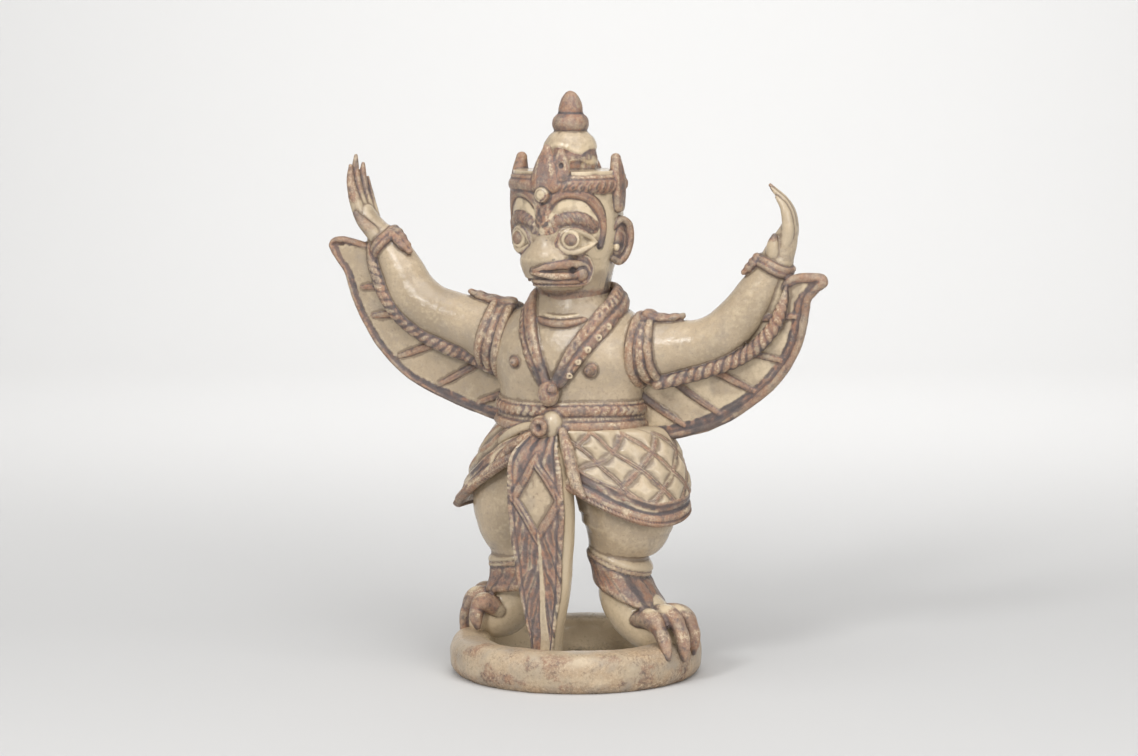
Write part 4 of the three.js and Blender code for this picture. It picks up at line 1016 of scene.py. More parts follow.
# The wing is a slab between two smooth lines: the root line inside the arm, at share a, and the outer edge,
# at share b. The ribs fix which shares face each other.
def makeWing(arm):
    ribs = arm["ribs"]
    s = np.linspace(0, 1, 150)
    knots = np.linspace(0, 1, len(ribs) + 2)
    a = np.interp(s, knots, [0] + [r for r, _ in ribs] + [1])
    b = np.interp(s, knots, [0] + [q for _, q in ribs] + [1])
    root, rim = curveAt(arm["inner"], a), curveAt(arm["outer"], b)
    across = np.linspace(0, 1, 60)
    place = root[:, None] * (1 - across[None, :, None]) + rim[:, None] * across[None, :, None]
    length = np.linalg.norm(rim - root, axis=1)[:, None]
    toRim = (1 - across[None, :]) * length
    half = 2.3 - 0.5 * ramp(0, 1, across[None, :])
    rough, slow = lumps(place, 2.4, 67), lumps(place, 9, 68)
    front = place + forward * (half + 0.3 * slow)[..., None]
    back = place - forward * (half - 0.25 * slow)[..., None]
    low = ramp(175, 150, place[..., 2])
    wide = arm["rimWide"] + (3.5 if arm["side"] < 0 else 1.0) * ramp(166, 148, place[..., 2] + 4 * slow)
    line = bell(toRim, wide, 0.85) * ramp(-0.9, -0.1, rough + 0.6 * slow)
    edge = 1 - ramp(wide - 0.6, wide + 0.8, toRim + 0.5 * slow)
    rings = np.concatenate([front, back[:, ::-1]], 1)
    web = 0.6 * (arm["side"] > 0) * (1 - edge) * ramp(-0.7, 0.3, slow)
    stained = edge * (0.35 * ramp(-0.1, 0.5, rough) + 0.9 * low * ramp(-0.7, 0.1, rough))
    paint = {
        "pool": np.concatenate([web, 0 * web], 1),
        "iron": np.concatenate([np.clip(0.95 * edge + 0.25 * line, 0, 1), 0.7 * edge[:, ::-1]], 1),
        "dark": np.concatenate([np.clip(0.9 * line + stained, 0, 1), 0.2 * edge[:, ::-1]], 1),
        "relief": np.concatenate([-0.45 * line + 0.15 * rough * edge, 0 * line], 1),
    }
    parts = [skin(rings, **paint)]
    along = curveAt(arm["outer"], np.linspace(1, 0, 40))
    path = np.vstack([along, arm["tip"]])
    rimHalf = arm["rimHalf"]
    sizes = [(rimHalf, 2.8)] * 36 + [(rimHalf + 0.4, 3.1)] * (len(path) - 37) + [(1.5, 2.0)]
    parts.append(roll(path, sizes, sides=22, steps=320, look=lambda a, t: {
        "iron": 0.95,
        "dark": 0.5 * ramp(0.1, 0.7, streaks(a, t, 230, 2.0, 62))
            + 0.85 * ramp(0.5, 0.15, t) * ramp(-0.7, 0.2, streaks(a, t, 230, 3.0, 69)),
        "relief": 0.22 * streaks(a, t, 230, 2.6, 63) + 0.1 * streaks(a, t, 230, 1.2, 60)}))

    # A rib is dark in its sides and along its top, and darker towards the wing's root.
    def ribLook(k):
        return lambda a, t: {
            "iron": 0.9,
            "dark": 0.75 * ramp(0.6, 0.95, toSide(a)) * ramp(-0.6, 0.1, streaks(a, t, 40, 2.6, 59 + k))
                + 0.3 * bell(np.cos(a), 0, 0.25) + 0.55 * ramp(0.0, 0.6, streaks(a, t, 40, 1.4, 70 + k))
                + 0.25 * ramp(0.5, 0, t) + 0.45 * (k > 2) * ramp(0.9, 0.4, t),
            "relief": -0.22 * bell(np.cos(a), 0, 0.3) * ramp(0, 0.8, np.sin(a))
                + 0.15 * streaks(a, t, 40, 1.6, 75 + k)}
    low, high = arm["ribSpan"]
    for k, (ra, rb) in enumerate(ribs):
        p, q = curveAt(arm["inner"], [ra])[0], curveAt(arm["outer"], [rb])[0]
        span = np.linalg.norm(q - p)
        shares = np.linspace(low, 1 - high / span, 6)
        bent = (
            np.array([0, 0, 0.9]) * np.sin(3.1 * shares + k)[:, None]
            + forward * (2.2 - 0.5 * shares[:, None]))
        sizes = [(1.7, 0.9), (1.9, 1.15), (2.0, 1.2), (2.0, 1.15), (1.8, 1.0), (1.3, 0.6)]
        parts.append(roll(p + (q - p) * shares[:, None] + bent, sizes, sides=22, steps=70, look=ribLook(k)))
    turns, tone = arm["ropeTurns"], arm["ropeTone"]

    # The twisted roll: strands at each place round and along it, pale on top and dark between.
    def strand(a, t):
        return np.cos(3 * a - 2 * np.pi * turns * t + 0.9 * streaks(a, t, 150, 5, 77))

    def ropeShape(a, t):
        return 0.95 + (0.065 - 0.04 * tone) * strand(a, t)

    def ropeLook(a, t):
        wave = strand(a, t)
        return {
            "iron": 0.95
                - (0.55 - 0.5 * tone) * ramp(0.3, 1, wave) * ramp(-0.6, 0.5, streaks(a, t, 150, 4, 78)),
            "dark": (0.75 + 0.15 * tone) * ramp(-0.35, -0.9, wave) + 0.75 * ramp(0.8, 0.98, toSide(a))
                + 0.9 * tone * ramp(-0.3, 0.5, streaks(a, t, 150, 1.8, 79)) * ramp(0.15, 0.5, t),
            "pool": (0.95 - 0.7 * tone) * ramp(0.5, 1, wave) * ramp(-0.1, 0.6, np.sin(a + 0.5))
                * ramp(-0.4, 0.3, streaks(a, t, 150, 2.2, 80)),
            "relief": 0.14 * streaks(a, t, 150, 1.3, 82)}
    parts.append(roll(arm["rope"], arm["ropeThick"], sides=36, steps=380, shape=ropeShape, look=ropeLook))
    return parts


def makeArm(name, arm, values, seed):
    parts = [roll(arm["line"], arm["thick"], sides=64, steps=120, pool=0.05, iron=0.12)]
    tilt = arm["armletTilt"]
    rust = rustLook(
        110, (0.6, 0.75, 1), (0.5, 0.2, 0.7, 1.8, seed + 4), (0.8, 0.1, 0.6, 2.8, seed + 5),
        (0.25, 2.2, seed + 3))
    for t, thick in ((0.096, (2.6, 2.3)), (0.168, (2.4, 2.2))):
        parts.append(bangle(arm, t, thick, 0.7, tilt, look=rust))

    def notched(a, t):
        wave = np.sin(2 * np.pi * 21 * t + 2.6 * np.cos(a) + 2.6 * streaks(a, t, 110, 4, seed + 6))
        worn = ramp(-0.4, 0.5, streaks(a, t, 110, 6, seed + 10))
        return {
            "iron": 0.9,
            "dark": 0.55 * ramp(0.1, -0.9, wave) * worn,
            "pool": 0.9 * ramp(0.1, 0.7, wave + 0.5 * streaks(a, t, 110, 2.4, seed + 12))
                * ramp(1.2, 0.4, worn),
            "relief": 0.28 * wave * worn + 0.15 * streaks(a, t, 110, 1.8, seed + 11)}
    parts.append(bangle(arm, 0.132, (2.8, 1.5), 0.3, tilt, look=notched))
    parts.append(leaf(
        arm, [(0.13, 2.4), (0.2, 1.6), (0.26, 1.8), (0.315, 3.0)], [4.8, 5.0, 4.0, 2.0],
        [2.9, 2.4, 2.1, 1.6], 0.15))
    rust = rustLook(
        66, (0, 0, 1), (0.45, 0.3, 0.8, 1.8, seed + 8), (0.4, 0.3, 0.8, 2.8, seed + 9),
        (0.2, 2.2, seed + 7))
    for t in (0.932, 0.972):
        parts.append(bangle(arm, t, (2.0, 1.8), 0.5, 0.12, look=rust))
    parts.append(leaf(
        arm, [(0.955, 1.4), (0.905, 1.5), (0.855, 1.7), (0.815, 2.4)], [3.8, 4.5, 4.1, 2.0],
        [2.1, 2.3, 2.2, 1.6], 0.5))
    face = arm["handFace"]
    parts.append(roll(arm["palm"], arm["palmSizes"], sides=36, steps=30, face=face))
    brown, thumbBrown = arm["brownFrom"], arm["thumbBrown"]
    for finger in arm["fingers"]:
        parts.append(roll(
            finger, [(3.5, 4.0), (3.0, 3.4), (2.4, 2.5), (1.1, 1.1)], sides=20, steps=44, face=face,
            look=lambda a, t: {
                "iron": 0.95 * ramp(brown - 0.15, brown + 0.25, t + 0.12 * streaks(a, t, 36, 3, 121)),
                "dark": 0.35 * ramp(0.9, 1, t),
                "pool": 0.15,
                "relief": -0.12 * bell(t, 0.45, 0.03) - 0.12 * bell(t, 0.7, 0.03)}))
    parts.append(roll(
        arm["thumb"], [(4.6, 4.6), (4.0, 3.8), (3.1, 3.0), (1.6, 1.6)], sides=20, steps=36, face=face,
        look=lambda a, t: {
            "iron": 0.9 * ramp(thumbBrown - 0.2, thumbBrown + 0.2, t),
            "dark": 0.65 * ramp(thumbBrown, 1, t)}))
    parts += makeWing(arm)
    return joinClay(name, parts, values["grain"], smoothing=2, crumb=0.09, seed=seed)


# Head and crown.

headValues = {
    "grain": 0.64, "turn": -5.0, "axis": (-2.4, -5.0, 0.0), "halfWidth": 30.0, "halfDepth": 31.4,
    "mouth": 229.4, "eye": (16.4, 246.8), "leftEyeIn": 1.8, "iris": 3.3, "boss": (1.2, 271.4)}


# Lines drawn on the face, as sideways place and height, each mirrored for the other side.
faceLines = {
    "arch": [
        (0.4, 257), (2.2, 264), (6.6, 269.8), (13, 272.6), (20, 271.4), (24.8, 266), (27.0, 258.4),
        (27.4, 250.6), (26.8, 243)],
    "brow": [(4.6, 253.4), (9, 257.0), (14.8, 258.6), (20.4, 257.6), (24.4, 253.6)],
    "upperLid": [(7.6, 244.6), (10, 250.8), (14.6, 253.8), (19.4, 253.2), (23.4, 249.8), (26.4, 245.4)],
    "lowerLid": [(8.0, 243.4), (12, 239.0), (16.6, 237.8), (21.8, 240.2), (26.2, 245.0)]}


# A place on the face, from its sideways place and height, where the skull is an oval.
def onFace(x, z, out=0.0):
    return (x, -headValues["halfDepth"] * np.sqrt(max(0.05, 1 - (x / headValues["halfWidth"]) ** 2)) - out, z)


# The lips' line seen from above, from the figure's right cheek round the tip of the bill to its left cheek,
# as places scaled about a point inside the head.
def billLine(scale=1.0, lift=0.0):
    plan = np.array([
        (-16, -10), (-13.4, -17), (-10.4, -24), (-7.2, -30.4), (-2.6, -35.8), (5, -33.8), (11, -28.6),
        (15.8, -22.8), (18.8, -16.6)])
    plan = np.array([0, -8]) + (plan - np.array([0, -8])) * scale
    return places(plan[:, 0], plan[:, 1], lift)


def makeFace(values):
    skull = [
        (205, 2.6, 2, 19.6, 20), (213, 2.6, 2.4, 19.8, 20.2), (220, 2.2, 2, 20.8, 21.6),
        (227, 1.2, 1, 23.4, 24.4), (234, 0.4, 1, 25.8, 27), (244, 0, 0, 29, 30.6), (258, 0, 0, 30.4, 31.8),
        (272, 0, 0, 30.4, 31.6), (279, 0, 0, 30.6, 31.8), (284, 0, 0, 30.6, 31.6)]
    parts = [stack(skull, sides=180, rows=110)]
    # The bill is the lips' line carried up and down, wide at the lips, under a rounded snout.
    level = np.array([
        (214, 0.3), (216.2, 0.56), (218.6, 0.76), (221, 0.9), (223.4, 0.96), (226, 0.98), (229.2, 0.96),
        (232, 0.96), (235, 0.9), (239, 0.78)])
    s = curveAt(level, np.linspace(0, 1, 90))
    front = curveAt(billLine(), np.linspace(0, 1, 90))
    back = np.column_stack([
        np.linspace(17, -14, 40), 2 - 4 * np.linspace(-1, 1, 40) ** 2 - 6 * np.linspace(-1, 1, 40) ** 8,
        np.zeros(40)])
    loop = np.vstack([front, back])[:, :2]
    setBack = (
        4.6 * ramp(1.2, 5.5, np.abs(s[:, 0:1] - values["mouth"])) * bell(loop[None, :, 0], -2, 7)
        * (loop[None, :, 1] < -12))
    rings = places(loop[None, :, 0] * s[:, 1:2], -8 + (loop[None, :, 1] + 8) * s[:, 1:2] + setBack, s[:, 0:1])
    z = rings[..., 2]
    parts.append(skin(
        rings, iron=0.95 * ramp(225, 226.4, z) * ramp(233.6, 232, z),
        dark=0.9 * bell(z, values["mouth"], 1.1)))
    snout = [
        (225, -1.4, -13, 15.4, 18.4), (230, -1.4, -14, 17.2, 19.6), (235, -1.2, -15, 17.6, 20.4),
        (239, -0.8, -16, 15.4, 19.2), (243, -0.4, -18, 11.4, 15.6), (247, 0, -21, 7.2, 11.6),
        (251, 0.4, -25, 4.2, 6.6)]
    parts.append(stack(snout, sides=70, rows=50, corner=2.3))
    # The lips: the upper one hangs over the mouth line and thins to the sides, the lower one is a plain roll.
    share = np.linspace(0, 1, 13)
    line = curveAt(billLine(1.0), share)
    size = np.interp(share, [0, 0.3, 0.5, 0.6, 0.72, 0.82, 0.92, 1], [1.2, 1.0, 1.0, 2.0, 3.0, 3.2, 2.4, 1.5])
    high = np.interp(
        share, [0, 0.3, 0.5, 0.62, 0.76, 0.9, 1], [230.6, 230.2, 230.0, 232.2, 233.6, 232.8, 231.2])
    upper = line + upward * high[:, None]
    curl = np.array([(19.6, -18.8, 233.2), (21.4, -16.6, 229.4), (21.2, -16.6, 225.6), (19.4, -18.8, 223.4)])
    upper = np.vstack([curl[::-1] * (-0.74, 1, 1), upper[1:-2], curl])
    size = np.concatenate([[1.2, 1.4, 1.4, 1.4], size[1:-2], [2.0, 1.7, 1.6, 1.2]])
    parts.append(roll(
        upper, list(zip(size, size * 0.85)), sides=28, steps=150, face=outward,
        look=lambda a, t: {
            "iron": 0.95,
            "dark": 0.6 * ramp(0.5, 0.95, toSide(a))
                + 0.55 * ramp(0.1, 0.7, streaks(a, t, 90, 1.8, 83)) * ramp(0.9, 0.5, t),
            "relief": 0.2 * streaks(a, t, 90, 2.0, 84),
            "pool": 0.3 * ramp(0.5, 0.9, streaks(a, t, 90, 3.0, 85))}))
    low = (
        curveAt(billLine(1.0), share)
        + upward * np.interp(share, [0, 0.5, 0.66, 0.85, 1], [228.6, 228.4, 226.8, 227.0, 228.4])[:, None])
    low = low - forward * 0.8 * bell(share, 0.5, 0.08)[:, None]
    parts.append(roll(
        low, [(w, w) for w in np.interp(share, [0, 0.45, 0.55, 0.68, 1], [1.2, 1.2, 1.4, 2.2, 2.1])],
        sides=24, steps=150, face=outward,
        look=lambda a, t: {
            "iron": 0.95,
            "dark": 0.65 * ramp(0.62, 0.95, toSide(a)) + 0.3 * ramp(0.3, 0.8, streaks(a, t, 90, 1.6, 86)),
            "pool": 0.6 * bell(t, 0.6, 0.16) * ramp(0.6, 1, np.sin(a)),
            "relief": 0.15 * streaks(a, t, 90, 2.4, 87)}))
    # Creases run under the lip and curl up round the corner of the mouth.
    for drop, size, iron, grow in ((223.6, 1.3, 0.9, 0.0), (221.4, 0.9, 0.75, 1.4)):
        crease = curveAt(billLine(0.965 - 0.014 * (223.6 - drop), drop), np.linspace(0.03, 0.93, 10))
        crease[:, 1] += 2.6 * bell(crease[:, 0], -2, 7)
        crease = crease.tolist()
        crease += [
            (19.6 + grow, -17.4, drop + 1.6), (21.6 + grow, -16.2, 227.4), (22.0 + grow, -16.0, 231.4),
            (20.4 + grow, -18.6, 235.4 + grow), (17.6 + grow, -22.4, 236.8 + grow)]
        parts.append(roll(
            crease,
            [(size * 0.4, size * 0.3)] + [(size, size)] * (len(crease) - 2) + [(size * 0.4, size * 0.3)],
            sides=14, steps=190, face=outward, pool=0.05,
            look=lambda a, t: {
                "iron": iron,
                "dark": 0.75 * ramp(0.7, 1, toSide(a)) * ramp(-0.8, 0.1, streaks(a, t, 110, 2.6, 88))}))
    for side in (1, -1):
        parts.append(egg((side * (17.9 - (side < 0) * 4.4), -19.2, 227.6), (3.9, 4.2, 4.0), iron=1))

    def arch(side, spots, sizes, out=-0.6, **options):
        return roll([onFace(side * x, z, out) for x, z in spots], sizes, face=outward, **options)

    for side in (1, -1):
        x, z = values["eye"][0] - values["leftEyeIn"] * (side > 0), values["eye"][1]
        parts.append(egg(onFace(side * x, z, -2.4), (5.8, 4.6, 5.8), sides=48, rows=32))
        parts.append(arch(
            side, [(7.8, 244.6), (10.4, 249.4), (14.6, 252.2), (19, 251.6), (22.8, 248.6), (25.6, 245.2)],
            [(1.6, 1.6), (2.3, 2.4), (2.5, 2.8), (2.4, 2.7), (1.9, 2.1), (1.1, 1.2)], sides=24, steps=60,
            out=-1.1, iron=0.22))
        parts.append(arch(
            side, [(8.4, 243.4), (12, 240.6), (16.6, 239.8), (21.4, 241.6), (25.6, 245.2)],
            [(1.4, 1.4), (2.3, 2.1), (2.4, 2.2), (2.0, 1.9), (1.0, 1.1)], sides=20, steps=50, out=-1.0,
            iron=0.22))
        # The brown arch over the eye meets the other side's in a point between the brows, and runs down as
        # a sideburn.
        parts.append(arch(
            side, faceLines["arch"],
            [
                (2.2, 1.8), (2.8, 2.4), (3.2, 2.9), (3.3, 3.0), (3.2, 3.0), (2.9, 2.8), (2.5, 2.6),
                (2.0, 2.2), (1.3, 1.4)],
            sides=40, steps=140, out=-0.9))
        parts.append(arch(
            side, faceLines["brow"], [(1.4, 1.4), (3.2, 2.6), (3.7, 3.0), (3.5, 2.8), (1.6, 1.6)], out=-1.0,
            sides=32, steps=90))
    parts.append(arch(
        1, [(0.6, 264), (0.6, 256), (1.2, 249.6)], [(5.0, 2.2), (4.4, 2.4), (2.6, 1.6)], sides=24,
        steps=30))
    boss = onFace(*values["boss"], 1.6)
    parts.append(roll(
        [boss, np.array(boss) + forward * 2.2], [4.4, 4.0], sides=40, steps=10, face=upward, ends=0.35))
    return parts


def makeEar(side):
    rim = [
        (side * x, y, z) for x, y, z in (
            (28.6, -2.4, 252.4), (31.4, 2.4, 257.0), (33.4, 7.6, 254), (33.6, 9.6, 246), (31.8, 8.4, 238),
            (29.6, 4.4, 233.6), (28.0, 0, 235.4))]
    facing = np.array([side, -0.25, 0])
    rust = {"iron": 0.95, "dark": 0.12}
    return [
        egg((side * 29.4, 4.6, 245), (2.8, 6.4, 10.4), lean=side * 0.1, **rust),
        roll(rim, [1.7, 2.1, 2.3, 2.3, 2.4, 2.4, 1.7], sides=24, steps=90, face=facing, look=lambda a, t: {
            "iron": 0.95,
            "dark": 0.3 * ramp(0.5, 1, -np.sin(a)) + 0.2 * ramp(0.2, 0.8, streaks(a, t, 50, 2.0, 102)),
            "relief": 0.2 * streaks(a, t, 50, 2.4, 103)}),
        roll(
            [
                (side * 31.0, 1.2, 251), (side * 32.0, 4.6, 248.6), (side * 31.8, 5.6, 243.5),
                (side * 30.8, 3.8, 239.0)],
            [1.0, 1.2, 1.2, 0.9], sides=14, steps=40, face=facing, iron=0.9, dark=0.5),
        egg((side * 30.4, -0.6, 241.6), (1.5, 1.9, 1.9), pool=0.6, iron=0.1)]


def makeCrown():
    parts = []
    k = circle(24)

    def hoop(radius, z, sizes, **options):
        loop = places(radius * np.sin(k), -radius * 1.03 * np.cos(k), z)
        return roll(loop, [sizes, sizes], steps=320, face=outward, closed=True, **options)

    # The band is smooth and brown on the figure's right, and cut by dark slanting strokes on its left.
    def slashed(a, t):
        rough = streaks(a, t, 190, 3.0, 104)
        cut = ramp(0.02, 0.05, t) * ramp(0.62, 0.5, t) * ramp(0.75, 0.35, -np.cos(a))
        wave = np.sin(2 * np.pi * 46 * t + 2.3 * np.cos(a) + 1.6 * rough)
        return {
            "iron": 0.95,
            "relief": 0.3 * wave * cut * ramp(0.0, 0.4, np.sin(a)) + 0.15 * rough,
            "dark": 0.85 * ramp(0.05, 0.85, wave) * cut * ramp(0.8, 0.4, toSide(a)) * ramp(-0.9, 0.0, rough)
                + 0.4 * ramp(-0.6, -0.95, np.cos(a)) + 0.3 * (1 - cut) * ramp(0.2, 0.8, rough)}
    parts.append(hoop(30.2, 276.4, (4.0, 3.0), sides=30, look=slashed))
    parts.append(hoop(30.3, 280.6, (1.5, 1.8), sides=14, look=lambda a, t: {
        "iron": 0.9
            - 0.35 * ramp(0.04, 0.08, t) * ramp(0.6, 0.5, t) * ramp(0.0, 0.8, streaks(a, t, 190, 3, 123)),
        "pool": 0.35 * ramp(0.04, 0.08, t) * ramp(0.6, 0.5, t)}))
    parts.append(hoop(30.2, 272.6, (1.1, 1.3), sides=12, iron=0.6, pool=0.2))

    def point(turn, bottom, top, wide, thick, shares, seed):
        def at(radius, z):
            return (radius * np.sin(turn), -radius * np.cos(turn), z)
        heights = np.linspace(bottom, top - 1.5, len(shares))
        spots = [at(31.4 - 2.2 * ((z - bottom) / (top - bottom)) ** 2, z) for z in heights]
        sizes = [(wide * w, thick * min(1, 0.55 + 0.5 * w)) for w in shares]

        def look(a, t):
            away, front = np.abs(np.cos(a) + 0.1), np.sin(a)
            return {
                "iron": 0.95,
                "dark": 0.5 * ramp(0.55, 0.2, away) * ramp(0, 0.5, front) * ramp(0.2, 0.45, t)
                    * ramp(-0.5, 0.2, streaks(a, t, 26, 2.6, seed)) + 0.3
                    * ramp(0.2, 0.8, streaks(a, t, 26, 1.8, seed + 1)),
                "relief": -0.5 * ramp(0.6, 0.3, away) * ramp(0, 0.4, front) * ramp(0.1, 0.4, t)
                    * ramp(1, 0.7, t) + 0.2 * streaks(a, t, 26, 3, seed),
                "pool": 0.5 * bell(away, 0.66, 0.1) * ramp(0, 0.4, front) * ramp(0.1, 0.3, t)}
        return roll(
            spots, sizes, sides=36, steps=60, face=np.array([np.sin(turn), -np.cos(turn), 0]), look=look)
    parts.append(point(0.07, 275.4, 298, 8.2, 3.8, (1.1, 1.04, 0.9, 0.66, 0.32), 105))
    parts.append(point(0.34, 280, 296.4, 4.8, 2.6, (1.1, 1.1, 1.0, 0.8, 0.4), 122))
    parts.append(point(np.pi / 2, 264, 292.4, 6.4, 3.6, (0.7, 0.95, 1.0, 0.82, 0.42), 107))
    parts.append(point(-np.pi / 2, 262, 291.8, 6.4, 4.2, (0.9, 1.0, 1.0, 0.84, 0.42), 109))
    parts.append(point(np.pi, 272, 292, 6.8, 3.8, (0.9, 1.0, 0.88, 0.66, 0.3), 111))

    # The dome steps out at a scalloped edge, where the upper leaves lap over the lower ones.
    dome = [
        (z, x, 1, r, r) for z, x, r in (
            (278, 0.6, 15.6), (286, 0.6, 15.2), (293, 0.6, 14.9), (298, 0.8, 14.4), (302, 1, 12.6),
            (305, 1, 9.6), (306.2, 1, 8.4))]

    def lap(a, z):
        wave = 0.8 * np.sin(5 * a + 1.4)
        upperEdge = 293.4 + 2.8 * np.abs(np.cos(1.5 * a + 0.2)) + wave
        lowerEdge = 286.4 + 2.2 * np.abs(np.cos(1.5 * a + 1.7)) - wave
        return z - upperEdge, z - lowerEdge

    def domeShape(a, z):
        u, w = lap(a, z)
        return (
            1 + 0.032 * ramp(-0.9, 1.2, u) * ramp(13, 4, u) + 0.035 * ramp(-0.8, 1.0, w) * ramp(7.5, 3, w)
            - 0.01)

    def domeLook(a, z):
        u, w = lap(a, z)
        rough = lumps(places(16 * np.sin(a), 16 * np.cos(a), z), 3.2, 113)
        return {
            "iron": 0.9 * ramp(0.6, -0.8, u) * ramp(-7.5, -4.5, u) * ramp(-0.6, 0.1, rough)
                + 0.6 * ramp(0.4, -1.0, w) * ramp(-0.7, 0.0, rough),
            "dark": 0.6 * bell(u, -0.9, 0.7) * ramp(-0.4, 0.3, rough) + 0.4 * bell(w, -0.9, 0.6)
                + 0.5 * ramp(304.5, 306, z),
            "pool": 0.6 * ramp(0.2, 1.0, u) * ramp(4, 1.5, u) + 0.5 * ramp(0.1, 0.9, w) * ramp(3.5, 1.4, w),
            "relief": 0.3 * rough}
    parts.append(stack(dome, sides=130, rows=90, shape=domeShape, look=domeLook))

    def bulb(a, z):
        rough = lumps(places(10 * np.sin(a), 10 * np.cos(a), z), 3.4, 114)
        return {
            "iron": 1.0,
            "dark": 0.85 * ramp(1.1, 0.3, np.abs(z - 315.4)) + 0.3 * ramp(0.3, 0.8, rough),
            "relief": 0.25 * rough}
    ball = ((304.4, 7.6), (306, 9.3), (309, 10.3), (312.4, 9.7), (314.6, 7.8), (315.4, 6.8))
    bud = ((313.4, 6.4), (315, 6.9), (316.6, 6.9), (319.5, 6.5), (323.4, 5.1), (326.4, 3.0), (327.6, 1.0))
    for profile, sides, rows in ((ball, 90, 50), (bud, 80, 60)):
        parts.append(stack([(z, 1, 1, r, r) for z, r in profile], sides=sides, rows=rows, look=bulb))
    return parts
